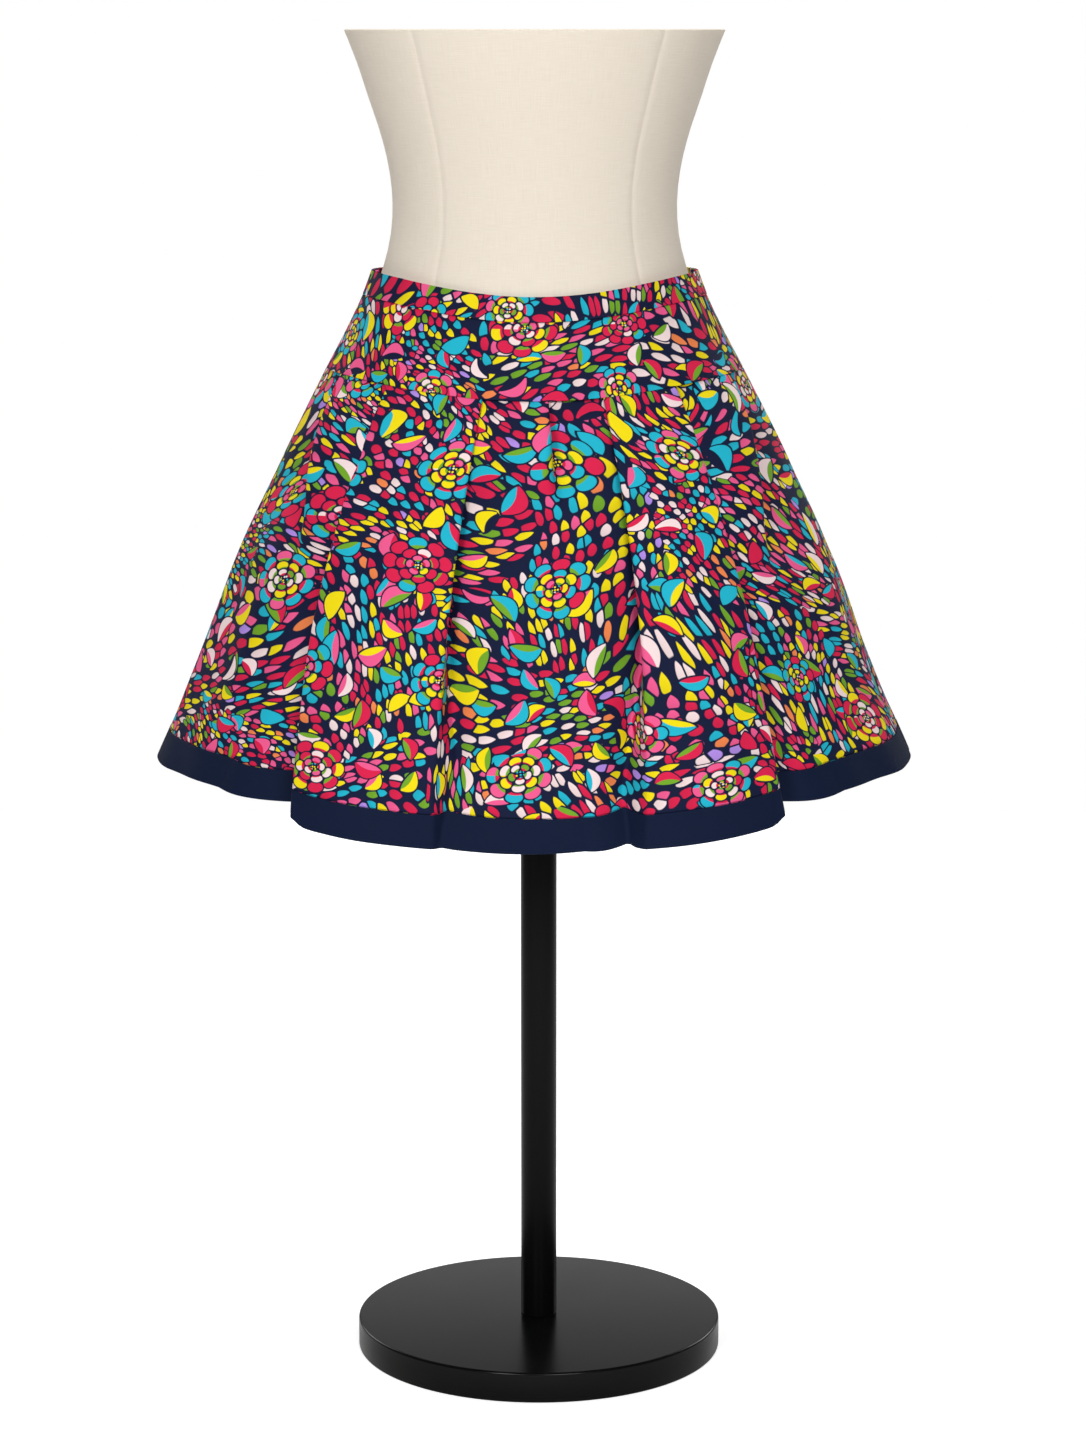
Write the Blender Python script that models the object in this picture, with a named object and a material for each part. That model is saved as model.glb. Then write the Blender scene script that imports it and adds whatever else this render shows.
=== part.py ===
"""Pleated mini skirt worn by a limbless dress form on a round stand.

Metres, +Z up. The floor is z = 0 under the middle of the foot plate and the front faces -Y.
Left and right in the names are the wearer's, so left is +X. Each piece of cloth is a thin wall
between two copies of one surface, and neighbouring pieces stop SEAM_GAP apart.
"""

import math
from collections import namedtuple

import bmesh
import bpy
import numpy as np

SEAM_GAP = 0.0003

# ---------------------------------------------------------------- stand
FOOT_RADIUS = 0.150
FOOT_HEIGHT = 0.025
FOOT_EDGE = 0.002
POLE_RADIUS = 0.0147
FLANGE_RADIUS = 0.048
FLANGE_HEIGHT = 0.006
FLANGE_COLLAR_RADIUS = 0.021
FLANGE_COLLAR_HEIGHT = 0.022
FOOT_SIDES = 72
POLE_SIDES = 36

# ---------------------------------------------------------------- dress form
# The form and the skirt sit this far to the wearer's right of the pole.
WORN_X = -0.003
FORM_SIDES = 48
FORM_EDGE = 0.008
FORM_TOP_EDGE = 0.0015

FormSection = namedtuple("FormSection", "z half_width front back")
FORM_SECTIONS = [
    FormSection(0.668, 0.1530, 0.1100, 0.1080),
    FormSection(0.700, 0.1600, 0.1160, 0.1160),
    FormSection(0.750, 0.1600, 0.1175, 0.1210),
    FormSection(0.790, 0.1535, 0.1145, 0.1200),
    FormSection(0.820, 0.1450, 0.1100, 0.1150),
    FormSection(0.850, 0.1355, 0.1040, 0.1085),
    FormSection(0.876, 0.1265, 0.0980, 0.1020),
    FormSection(0.891, 0.1214, 0.0962, 0.0992),
    FormSection(0.906, 0.1170, 0.0940, 0.0955),
    FormSection(0.9255, 0.1136, 0.0910, 0.0900),
    FormSection(0.945, 0.1128, 0.0905, 0.0870),
    FormSection(0.972, 0.1155, 0.0940, 0.0870),
    FormSection(0.999, 0.1220, 0.1005, 0.0885),
    FormSection(1.026, 0.1310, 0.1085, 0.0910),
    FormSection(1.055, 0.1405, 0.1160, 0.0945),
    FormSection(1.0795, 0.1502, 0.1195, 0.0985),
]

# ---------------------------------------------------------------- cloth
CLOTH = 0.0015
WAISTBAND_CLOTH = 0.0022

# Distances down the side of the skirt from the top of its waistband.
WAISTBAND_SEAM = 0.020
YOKE_SEAM = 0.085
HEM_BAND_SEAM = 0.402
HEM = 0.430

# The middle of the cloth's wall without its folds: an oval at each distance down, half of it in
# front of the wearer's sides and half behind. Its middle front and back hang lower than its sides.
Level = namedtuple("Level", "down side_z front_dip back_dip half_width front back")
LEVELS = [
    Level(0.0000, 0.8910, 0.015, 0.006, 0.1290, 0.1000, 0.1020),
    Level(0.0200, 0.8720, 0.015, 0.006, 0.1362, 0.1070, 0.1092),
    Level(0.0525, 0.8425, 0.015, 0.007, 0.1502, 0.1205, 0.1230),
    Level(0.0850, 0.8140, 0.015, 0.008, 0.1655, 0.1350, 0.1380),
    Level(0.1710, 0.7340, 0.019, 0.011, 0.2058, 0.1655, 0.1700),
    Level(0.2570, 0.6545, 0.024, 0.014, 0.2417, 0.1925, 0.1980),
    Level(0.3430, 0.5748, 0.028, 0.017, 0.2715, 0.2170, 0.2230),
    Level(0.4300, 0.5015, 0.033, 0.020, 0.3040, 0.2430, 0.2490),
]
DIP_ROUNDNESS = 3.0
OVAL_STEPS = 720

WAISTBAND_ROWS = [0.0, WAISTBAND_SEAM]
YOKE_ROWS = [WAISTBAND_SEAM, 0.041, 0.063, YOKE_SEAM]
SKIRT_ROWS = [YOKE_SEAM, 0.098, 0.118, 0.145, 0.180, 0.222, 0.268, 0.315, 0.360, HEM_BAND_SEAM]
HEM_BAND_ROWS = [HEM_BAND_SEAM, HEM]
FITTED_COLUMNS = 18

# A pleat's fold, with the angle of its visible edge from the middle front at the yoke seam, half
# way down and at the hem. over is +1 where the panel on the larger angle lies on top. The cloth
# turns under the edge, runs back for the underlay and turns again. It is shut at the yoke seam and
# opens to hem_turn and hem_radius, by open_at of the way down. A fold of FLAT_TURN ends as a faint
# ridge.
# middle_out is how far out of the plain oval the fold's mid layer stands at the hem.
FLAT_TURN = 5
FLAT_RADIUS = 0.010
Fold = namedtuple(
    "Fold", "name seam_deg middle_deg hem_deg over underlay hem_turn hem_radius open_at middle_out"
)
FRONT_FOLDS = [
    Fold("side right", -67, -52, -54, 1, 0.007, FLAT_TURN, FLAT_RADIUS, 0.42, -0.006),
    Fold("outer right", -43.5, -42.2, -36.2, 1, 0.024, 104, 0.0052, 1.0, -0.004),
    Fold("inner right", -14.2, -15.4, -14.2, -1, 0.014, 24, 0.005, 1.0, 0.003),
    Fold("centre", 3.6, 5.0, 6.0, -1, 0.006, FLAT_TURN, FLAT_RADIUS, 0.24, -0.001),
    Fold("inner left", 18.9, 18.7, 15.4, 1, 0.016, 44, 0.0045, 1.0, 0.003),
    Fold("outer left", 41.4, 40.4, 37.4, -1, 0.024, 104, 0.0052, 1.0, -0.003),
    Fold("side left", 68, 50.5, 52, -1, 0.007, FLAT_TURN, FLAT_RADIUS, 0.46, -0.006),
]
BACK_LEFT_FOLDS = [
    Fold("side left", 116, 123, 127, 1, 0.007, FLAT_TURN, FLAT_RADIUS, 0.40, -0.006),
    Fold("outer left", 138, 139.5, 143, 1, 0.024, 100, 0.0052, 1.0, 0.0),
    Fold("inner left", 163, 163, 165, -1, 0.016, 40, 0.0045, 1.0, 0.003),
]
BACK_RIGHT_FOLDS = [
    Fold("inner right", -163.5, -162, -164, 1, 0.015, 34, 0.0045, 1.0, 0.003),
    Fold("outer right", -138.5, -138, -142, -1, 0.024, 106, 0.0052, 1.0, 0.0),
    Fold("side right", -115, -121, -125, -1, 0.007, FLAT_TURN, FLAT_RADIUS, 0.44, -0.006),
]
SHUT_TURN = 180
SHUT_RADIUS = 0.0013
OPENING_EASE = 1.25
ARC_STEPS = 3
# The shut pleats hang from the inside of the yoke, and come out level with it over this share.
SHUT_SHIFT = 0.0026
SHIFT_ENDS = 0.10
# A panel set back from the oval hangs this much higher for each metre it is set back.
SET_BACK_LIFT = 0.33

# The panels between those folds, with how far each one's middle stands proud at the hem.
Panel = namedtuple("Panel", "columns crown")
FRONT_PANELS = [
    Panel(3, 0.003),
    Panel(3, 0.002),
    Panel(5, 0.006),
    Panel(3, 0.002),
    Panel(2, 0.002),
    Panel(5, 0.007),
    Panel(3, 0.002),
    Panel(3, 0.003),
]
BACK_LEFT_PANELS = [Panel(3, 0.003), Panel(3, 0.002), Panel(5, 0.006), Panel(3, 0.003)]
BACK_RIGHT_PANELS = [Panel(3, 0.003), Panel(5, 0.007), Panel(3, 0.002), Panel(3, 0.003)]
SIDE_DEG = 90
BACK_DEG = 180
SIDE_OUT = 0.0
CENTRE_BACK_OUT = -0.004

# ---------------------------------------------------------------- zip at the centre back
# From the top of the waistband down to the top of the slider.
ZIP_DOWN = 0.006
SLIDER_WIDTH = 0.0064
SLIDER_LENGTH = 0.0090
SLIDER_HEIGHT = 0.0022
SLIDER_EDGE = 0.0006
SLIDER_CLEAR = 0.0004
BRIDGE_WIDTH = 0.0016
BRIDGE_LENGTH = 0.0054
BRIDGE_BAR = 0.0008
BRIDGE_OPENING = 0.0020
# The pull hangs this much closer to the cloth than square to the slider.
PULL_LEAN_DEG = 3
PULL_THICKNESS = 0.0010
PULL_BAR = 0.0011
PULL_EYE_WIDTH = 0.0038
PULL_EYE_LENGTH = 0.0046
PULL_ARM = 0.0010
PULL_LENGTH = 0.0220
PULL_END_WIDTH = 0.0072
PULL_END_STEPS = 6

# Red, green, blue, roughness and metallic.
COLOURS = {
    "print": (0.07, 0.09, 0.24, 0.85, 0.0),
    "band": (0.010, 0.014, 0.045, 0.80, 0.0),
    "linen": (0.74, 0.68, 0.57, 0.90, 0.0),
    "black metal": (0.012, 0.012, 0.013, 0.38, 0.6),
    "zip metal": (0.020, 0.026, 0.060, 0.35, 0.7),
}


def start_empty():
    for old in list(bpy.data.objects):
        bpy.data.objects.remove(old, do_unlink=True)


def material_for(piece, colour):
    red, green, blue, roughness, metallic = COLOURS[colour]
    material = bpy.data.materials.new(piece + " finish")
    material.use_nodes = True
    shader = material.node_tree.nodes["Principled BSDF"]
    shader.inputs["Base Color"].default_value = (red, green, blue, 1.0)
    shader.inputs["Roughness"].default_value = roughness
    shader.inputs["Metallic"].default_value = metallic
    material.diffuse_color = (red, green, blue, 1.0)
    return material


def piece_from(name, shape, colour, smooth_deg=35):
    """A named object from a bmesh, its faces pointing out."""
    bmesh.ops.recalc_face_normals(shape, faces=shape.faces)
    mesh = bpy.data.meshes.new(name)
    shape.to_mesh(mesh)
    shape.free()
    mesh.shade_smooth()
    mesh.set_sharp_from_angle(angle=math.radians(smooth_deg))
    mesh.materials.append(material_for(name, colour))
    piece = bpy.data.objects.new(name, mesh)
    bpy.context.collection.objects.link(piece)
    return piece


# ---------------------------------------------------------------- rows through a table
def curve_through(rows, key, at):
    """Each column of a table read at one value of its key, on smooth curves through its rows."""
    keys = np.array([getattr(row, key) for row in rows])
    values = np.array(rows, dtype=float)
    slopes = np.gradient(values, keys, axis=0)
    low = int(np.clip(np.searchsorted(keys, at) - 1, 0, len(keys) - 2))
    span = keys[low + 1] - keys[low]
    u = (at - keys[low]) / span
    read = (
        (2 * u**3 - 3 * u**2 + 1) * values[low]
        + (u**3 - 2 * u**2 + u) * span * slopes[low]
        + (3 * u**2 - 2 * u**3) * values[low + 1]
        + (u**3 - u**2) * span * slopes[low + 1]
    )
    return type(rows[0])(*read)


def ease(share):
    share = min(max(share, 0.0), 1.0)
    return share * share * (3 - 2 * share)


# ---------------------------------------------------------------- stand and dress form
def turned(name, profile, colour, sides):
    """A round piece from its profile of (radius, height) points, from the bottom to the top."""
    shape = bmesh.new()
    rings = []
    for radius, height in profile:
        ring = []
        for k in range(sides):
            angle = 2 * math.pi * k / sides
            ring.append(shape.verts.new((radius * math.cos(angle), radius * math.sin(angle), height)))
        rings.append(ring)
    close_rings(shape, rings)
    return piece_from(name, shape, colour)


def close_rings(shape, rings):
    """Walls between rings of the same count, and flat ends."""
    for low, high in zip(rings, rings[1:]):
        for k in range(len(low)):
            after = (k + 1) % len(low)
            shape.faces.new((low[k], low[after], high[after], high[k]))
    shape.faces.new(list(reversed(rings[0])))
    shape.faces.new(rings[-1])


def make_foot():
    inset = FOOT_RADIUS - FOOT_EDGE
    profile = [
        (inset, 0.0),
        (FOOT_RADIUS, FOOT_EDGE),
        (FOOT_RADIUS, FOOT_HEIGHT - FOOT_EDGE),
        (inset, FOOT_HEIGHT),
    ]
    return turned("stand_foot", profile, "black metal", FOOT_SIDES)


def make_pole():
    low = FOOT_HEIGHT + SEAM_GAP
    high = FORM_SECTIONS[0].z - FLANGE_HEIGHT - 2 * SEAM_GAP
    return turned("stand_pole", [(POLE_RADIUS, low), (POLE_RADIUS, high)], "black metal", POLE_SIDES)


def make_flange():
    """The plate under the form, with the collar that the pole's top goes up into."""
    top = FORM_SECTIONS[0].z - SEAM_GAP
    bottom = top - FLANGE_HEIGHT
    bore = POLE_RADIUS + SEAM_GAP
    profile = [
        (bore, bottom),
        (bore, bottom - FLANGE_COLLAR_HEIGHT),
        (FLANGE_COLLAR_RADIUS, bottom - FLANGE_COLLAR_HEIGHT),
        (FLANGE_COLLAR_RADIUS, bottom),
        (FLANGE_RADIUS, bottom),
        (FLANGE_RADIUS, top),
    ]
    return turned("form_flange", profile, "black metal", POLE_SIDES)


def form_ring(section, shrink=0.0):
    points = []
    for k in range(FORM_SIDES):
        angle = 2 * math.pi * k / FORM_SIDES
        depth = section.back if math.sin(angle) > 0 else section.front
        x = WORN_X + (section.half_width - shrink) * math.cos(angle)
        points.append((x, (depth - shrink) * math.sin(angle), section.z))
    return points


def make_form():
    first, last = FORM_SECTIONS[0], FORM_SECTIONS[-1]
    levels = [form_ring(first, FORM_EDGE)]
    levels.append(form_ring(curve_through(FORM_SECTIONS, "z", first.z + FORM_EDGE)))
    levels += [form_ring(section) for section in FORM_SECTIONS[1:-1]]
    levels.append(form_ring(last._replace(z=last.z - FORM_TOP_EDGE)))
    levels.append(form_ring(last, FORM_TOP_EDGE))
    shape = bmesh.new()
    rings = [[shape.verts.new(point) for point in level] for level in levels]
    close_rings(shape, rings)
    return piece_from("form_torso", shape, "linen", smooth_deg=50)


# ---------------------------------------------------------------- cloth surface
class Oval:
    """The plain oval of the cloth at one distance down, read by the distance round it."""

    def __init__(self, down):
        level = curve_through(LEVELS, "down", down)
        turn = np.radians(np.linspace(-BACK_DEG, BACK_DEG, OVAL_STEPS + 1))
        sine, cosine = np.sin(turn), np.cos(turn)
        depth = np.where(cosine > 0, level.front, level.back)
        dip = np.where(cosine > 0, level.front_dip, level.back_dip)
        self.degrees = np.degrees(turn)
        self.x = WORN_X + level.half_width * sine
        self.y = -depth * cosine
        self.z = level.side_z - dip * np.abs(cosine) ** DIP_ROUNDNESS
        out_x, out_y = sine / level.half_width, -cosine / depth
        size = np.hypot(out_x, out_y)
        self.out_x, self.out_y = out_x / size, out_y / size
        steps = np.hypot(np.diff(self.x), np.diff(self.y))
        along = np.concatenate([[0.0], np.cumsum(steps)])
        self.round = along - np.interp(0.0, self.degrees, along)

    def along(self, degrees):
        return float(np.interp(degrees, self.degrees, self.round))

    def point(self, along, out, lift=0.0):
        read = [
            float(np.interp(along, self.round, column))
            for column in (self.x, self.y, self.z, self.out_x, self.out_y)
        ]
        x, y, z, out_x, out_y = read
        return (x + out * out_x, y + out * out_y, z + lift)


def wall(name, rows, path_at, thickness, colour, lift_at=None):
    """A closed thin wall: path_at gives the (along, out) points of its middle at each row."""
    outside, inside = [], []
    for down in rows:
        oval = Oval(down)
        path = path_at(down, oval)
        lift = [lift_at(down, out) if lift_at else 0.0 for _, out in path]
        for side, sheet in ((0.5, outside), (-0.5, inside)):
            moved = offset(path, side * thickness)
            sheet.append([oval.point(*point, rise) for point, rise in zip(moved, lift)])
    shape = bmesh.new()
    outer = [[shape.verts.new(point) for point in row] for row in outside]
    inner = [[shape.verts.new(point) for point in row] for row in inside]
    for sheet, turned_round in ((outer, False), (inner, True)):
        for above, below in zip(sheet, sheet[1:]):
            for k in range(len(above) - 1):
                face = [above[k], below[k], below[k + 1], above[k + 1]]
                shape.faces.new(list(reversed(face)) if turned_round else face)
    for k in range(len(outer[0]) - 1):
        shape.faces.new((outer[0][k], outer[0][k + 1], inner[0][k + 1], inner[0][k]))
        shape.faces.new((outer[-1][k], inner[-1][k], inner[-1][k + 1], outer[-1][k + 1]))
    for row in range(len(rows) - 1):
        shape.faces.new((outer[row][0], inner[row][0], inner[row + 1][0], outer[row + 1][0]))
        shape.faces.new((outer[row][-1], outer[row + 1][-1], inner[row + 1][-1], inner[row][-1]))
    return piece_from(name, shape, colour, smooth_deg=60)


def offset(path, by):
    """A path moved sideways by one distance, its ends kept square to the oval."""
    points = np.array(path)
    runs = np.diff(points, axis=0)
    runs /= np.linalg.norm(runs, axis=1)[:, None]
    sides = np.stack([-runs[:, 1], runs[:, 0]], axis=1)
    mitres = sides[:-1] + sides[1:]
    mitres /= np.maximum(1 + (sides[:-1] * sides[1:]).sum(axis=1), 0.5)[:, None]
    square = np.array([[0.0, 1.0]])
    return points + by * np.concatenate([square, mitres, square])


# ---------------------------------------------------------------- waistband and yoke
def plain_path(low_deg, high_deg, columns):
    def path_at(down, oval):
        start = oval.along(low_deg) + SEAM_GAP / 2
        end = oval.along(high_deg) - SEAM_GAP / 2
        return [(along, 0.0) for along in np.linspace(start, end, columns + 1)]

    return path_at


def with_seam_gaps(rows):
    """Rows that stop short of the seams above and below by half a gap each."""
    half = SEAM_GAP / 2
    top = rows[0] + (half if rows[0] > 0 else 0.0)
    bottom = rows[-1] - (half if rows[-1] < HEM else 0.0)
    return [top, *rows[1:-1], bottom]


def make_fitted_pieces():
    parts = [("front", -SIDE_DEG, SIDE_DEG, 2), ("back_left", SIDE_DEG, BACK_DEG, 1)]
    parts.append(("back_right", -BACK_DEG, -SIDE_DEG, 1))
    for place, low, high, halves in parts:
        path_at = plain_path(low, high, halves * FITTED_COLUMNS)
        rows = with_seam_gaps(WAISTBAND_ROWS)
        wall("waistband_" + place, rows, path_at, WAISTBAND_CLOTH, "print")
        wall("yoke_" + place, with_seam_gaps(YOKE_ROWS), path_at, CLOTH, "print")


# ---------------------------------------------------------------- pleated panels
def share_down(down):
    return (down - YOKE_SEAM) / (HEM - YOKE_SEAM)


def fold_degrees(fold, share):
    """The edge's angle on a parabola through its three stated angles."""
    low, middle, high = fold.seam_deg, fold.middle_deg, fold.hem_deg
    bend = 2 * (low + high - 2 * middle)
    return low + (high - low - bend) * share + bend * share**2


def fold_path(fold, share, oval):
    """The fold's own (along, out) points: two turns with the underlay between them."""
    opened = min(share / fold.open_at, 1.0)
    turn = math.radians(SHUT_TURN + (fold.hem_turn - SHUT_TURN) * opened**OPENING_EASE)
    radius = SHUT_RADIUS + (fold.hem_radius - SHUT_RADIUS) * opened
    depth = 2 * radius * (1 - math.cos(turn)) + fold.underlay * math.sin(turn)
    shift = SHUT_SHIFT * (1 - ease(share / SHIFT_ENDS))
    edge = oval.along(fold_degrees(fold, share))
    start = edge - radius * math.sin(min(turn, math.pi / 2))
    top = depth / 2 - shift + fold.middle_out * share
    points = []
    for step in range(ARC_STEPS + 1):
        part = turn * step / ARC_STEPS
        points.append((start + radius * math.sin(part), top - radius * (1 - math.cos(part))))
    along, out = points[-1]
    run = (fold.underlay * math.cos(turn), -fold.underlay * math.sin(turn))
    points.append((along + run[0] / 2, out + run[1] / 2))
    along, out = along + run[0], out + run[1]
    for step in range(ARC_STEPS + 1):
        part = turn * (1 - step / ARC_STEPS)
        gone = (math.sin(turn) - math.sin(part), math.cos(turn) - math.cos(part))
        points.append((along + radius * gone[0], out + radius * gone[1]))
    if fold.over > 0:
        points = [(2 * edge - along, out) for along, out in reversed(points)]
    return points


def pleated_path(folds, panels, low, high):
    """The middle of the wall from one seam to the next; low and high are (degrees, out) of them."""

    def path_at(down, oval):
        share = share_down(down)
        runs = [[(oval.along(low[0]) + SEAM_GAP / 2, low[1] * share)]]
        runs += [fold_path(fold, share, oval) for fold in folds]
        runs.append([(oval.along(high[0]) - SEAM_GAP / 2, high[1] * share)])
        path = list(runs[0])
        for panel, before, after in zip(panels, runs, runs[1:]):
            path += panel_points(panel, before[-1], after[0], share)
            path += after
        return path

    return path_at


def panel_points(panel, start, end, share):
    points = []
    for column in range(1, panel.columns + 1):
        part = column / (panel.columns + 1)
        along = start[0] + (end[0] - start[0]) * part
        out = start[1] + (end[1] - start[1]) * ease(part)
        points.append((along, out + 4 * part * (1 - part) * panel.crown * share))
    return points


def set_back_lift(down, out):
    return -SET_BACK_LIFT * min(out, 0.0) * max(share_down(down), 0.0)


def make_pleated_pieces():
    left, right = (SIDE_DEG, SIDE_OUT), (-SIDE_DEG, SIDE_OUT)
    back_left, back_right = (BACK_DEG, CENTRE_BACK_OUT), (-BACK_DEG, CENTRE_BACK_OUT)
    parts = [
        ("front", pleated_path(FRONT_FOLDS, FRONT_PANELS, right, left)),
        ("back_left", pleated_path(BACK_LEFT_FOLDS, BACK_LEFT_PANELS, left, back_left)),
        ("back_right", pleated_path(BACK_RIGHT_FOLDS, BACK_RIGHT_PANELS, back_right, right)),
    ]
    for place, path_at in parts:
        rows = with_seam_gaps(SKIRT_ROWS)
        wall("skirt_" + place, rows, path_at, CLOTH, "print", set_back_lift)
        rows = with_seam_gaps(HEM_BAND_ROWS)
        wall("hem_band_" + place, rows, path_at, CLOTH, "band", set_back_lift)


# ---------------------------------------------------------------- zip
def zip_place():
    """The middle of the slider on the waistband's outer face, and how far that face tilts."""
    upper, lower = Oval(ZIP_DOWN), Oval(ZIP_DOWN + SLIDER_LENGTH)
    high = upper.point(upper.along(BACK_DEG), WAISTBAND_CLOTH / 2)
    low = lower.point(lower.along(BACK_DEG), WAISTBAND_CLOTH / 2)
    tilt = math.atan2(low[1] - high[1], high[2] - low[2])
    return (WORN_X, (high[1] + low[1]) / 2, (high[2] + low[2]) / 2), tilt


def prism(outline, width):
    """A closed shape from an outline of (out, up) points given a width along X."""
    shape = bmesh.new()
    near = [shape.verts.new((-width / 2, out, up)) for out, up in outline]
    face = shape.faces.new(near)
    grown = bmesh.ops.extrude_face_region(shape, geom=[face])["geom"]
    moved = [part for part in grown if isinstance(part, bmesh.types.BMVert)]
    bmesh.ops.translate(shape, verts=moved, vec=(width, 0, 0))
    return shape


def make_slider(place, tilt):
    half, top, edge = SLIDER_LENGTH / 2, SLIDER_CLEAR + SLIDER_HEIGHT, SLIDER_EDGE
    body = [(SLIDER_CLEAR, -half), (top - edge, -half), (top, -half + edge)]
    body += [(top, half - edge), (top - edge, half), (SLIDER_CLEAR, half)]
    slider = piece_from("zip_slider", prism(body, SLIDER_WIDTH), "zip metal")
    slider.location, slider.rotation_euler = place, (tilt, 0, 0)
    reach, leg, sunk = BRIDGE_LENGTH / 2, BRIDGE_LENGTH / 2 - BRIDGE_BAR, top - SLIDER_HEIGHT / 2
    under, over = top + BRIDGE_OPENING, top + BRIDGE_OPENING + BRIDGE_BAR
    arch = [(sunk, -reach), (over - edge, -reach), (over, -reach + edge), (over, reach - edge)]
    arch += [(over - edge, reach), (sunk, reach), (sunk, leg), (under, leg), (under, -leg)]
    arch += [(sunk, -leg)]
    bridge = piece_from("slider_bridge", prism(arch, BRIDGE_WIDTH), "zip metal")
    bridge.location, bridge.rotation_euler = place, (tilt, 0, 0)
    bridge.hide_render = True
    bridge.display_type = "WIRE"
    join = slider.modifiers.new("bridge", "BOOLEAN")
    join.operation = "UNION"
    join.object = bridge


def make_pull(place, tilt):
    """The tab: an eye round its bar, widening to a round end. Its origin is on the bar's axis."""
    shape = bmesh.new()
    eye, frame = PULL_EYE_WIDTH / 2, PULL_EYE_WIDTH / 2 + PULL_ARM
    top, foot = PULL_BAR / 2, PULL_EYE_LENGTH + PULL_BAR / 2
    front = PULL_THICKNESS / 2

    def corner(x, down):
        return shape.verts.new((x, front, -down))

    inner = [corner(-eye, top), corner(eye, top), corner(eye, foot), corner(-eye, foot)]
    outer = [corner(-frame, -top), corner(frame, -top)]
    outer += [corner(frame, foot + PULL_ARM), corner(-frame, foot + PULL_ARM)]
    for k in range(4):
        after = (k + 1) % 4
        shape.faces.new((outer[k], outer[after], inner[after], inner[k]))
    end_radius = PULL_END_WIDTH / 2
    end = []
    for step in range(PULL_END_STEPS + 1):
        angle = math.pi * step / PULL_END_STEPS
        down = PULL_LENGTH - end_radius + end_radius * math.sin(angle)
        end.append(corner(end_radius * math.cos(angle), down))
    shape.faces.new([outer[3], outer[2], *end])
    grown = bmesh.ops.extrude_face_region(shape, geom=shape.faces[:])["geom"]
    moved = [part for part in grown if isinstance(part, bmesh.types.BMVert)]
    bmesh.ops.translate(shape, verts=moved, vec=(0, -PULL_THICKNESS, 0))
    pull = piece_from("zip_pull", shape, "zip metal")
    out = SLIDER_CLEAR + SLIDER_HEIGHT + BRIDGE_OPENING / 2
    x, y, z = place
    pull.location = (x, y + out * math.cos(tilt), z + out * math.sin(tilt))
    pull.rotation_euler = (tilt - math.radians(PULL_LEAN_DEG), 0, 0)


start_empty()
make_foot()
make_pole()
make_flange()
make_form()
make_fitted_pieces()
make_pleated_pieces()
zip_middle, zip_tilt = zip_place()
make_slider(zip_middle, zip_tilt)
make_pull(zip_middle, zip_tilt)
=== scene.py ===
"""Looks of a pleated mini skirt worn by a half dress form on a round stand.

Metres, +Z up. The floor is z = 0 and the front faces -Y. Left and right are the wearer's, so left
is +X. The cloth comes from the same rows of numbers as the solids, more finely, with small creases,
rounded edges and a printed cotton finish.
"""

import functools
import math
from collections import namedtuple

import bmesh
import bpy
import numpy as np
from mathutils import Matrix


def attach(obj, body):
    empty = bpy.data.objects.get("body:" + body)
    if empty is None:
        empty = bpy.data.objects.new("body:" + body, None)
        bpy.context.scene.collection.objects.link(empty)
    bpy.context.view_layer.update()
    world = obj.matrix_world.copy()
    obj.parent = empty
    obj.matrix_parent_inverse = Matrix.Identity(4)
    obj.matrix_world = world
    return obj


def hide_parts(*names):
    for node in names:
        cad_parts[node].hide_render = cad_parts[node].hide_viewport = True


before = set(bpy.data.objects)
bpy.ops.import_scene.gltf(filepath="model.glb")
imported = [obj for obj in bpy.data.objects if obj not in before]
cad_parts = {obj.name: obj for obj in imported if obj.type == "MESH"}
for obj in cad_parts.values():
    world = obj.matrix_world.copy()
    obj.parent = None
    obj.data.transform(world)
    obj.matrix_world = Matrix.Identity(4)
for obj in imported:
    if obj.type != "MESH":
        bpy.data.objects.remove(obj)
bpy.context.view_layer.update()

BODY = "skirt_and_form"
SEAM_GAP = 0.0003


def table(kind, rows):
    return [kind(*row) for row in rows]


# ---- stand and form, as in the solids
FOOT_RADIUS = 0.150
FOOT_HEIGHT = 0.025
FOOT_ROUNDING, POLE_ROUNDING, FLANGE_ROUNDING = 0.0020, 0.0004, 0.0010
FOOT_SIDES, POLE_SIDES = 160, 72
POLE_RADIUS = 0.0147
FLANGE_RADIUS = 0.048
FLANGE_HEIGHT = 0.006
COLLAR_RADIUS = 0.021
COLLAR_HEIGHT = 0.022
WORN_X = -0.003
FORM_SIDES = 120
FORM_ROW = 0.012
FORM_EDGE = 0.008
FORM_TOP_EDGE = 0.0015
# The linen goes round the form this far up and down from its middle, and flat over its ends.
FORM_HALF_WRAP = 0.2053

FormSection = namedtuple("FormSection", "z half_width front back")
FORM_SECTIONS = table(FormSection, [
    (0.668, 0.153, 0.11, 0.108),
    (0.7, 0.16, 0.116, 0.116),
    (0.75, 0.16, 0.1175, 0.121),
    (0.79, 0.1535, 0.1145, 0.12),
    (0.82, 0.145, 0.11, 0.115),
    (0.85, 0.1355, 0.104, 0.1085),
    (0.876, 0.1265, 0.098, 0.102),
    (0.891, 0.1214, 0.0962, 0.0992),
    (0.906, 0.117, 0.094, 0.0955),
    (0.9255, 0.1136, 0.091, 0.09),
    (0.945, 0.1128, 0.0905, 0.087),
    (0.972, 0.1155, 0.094, 0.087),
    (0.999, 0.122, 0.1005, 0.0885),
    (1.026, 0.131, 0.1085, 0.091),
    (1.055, 0.1405, 0.116, 0.0945),
    (1.0795, 0.1502, 0.1195, 0.0985),
])
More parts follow.
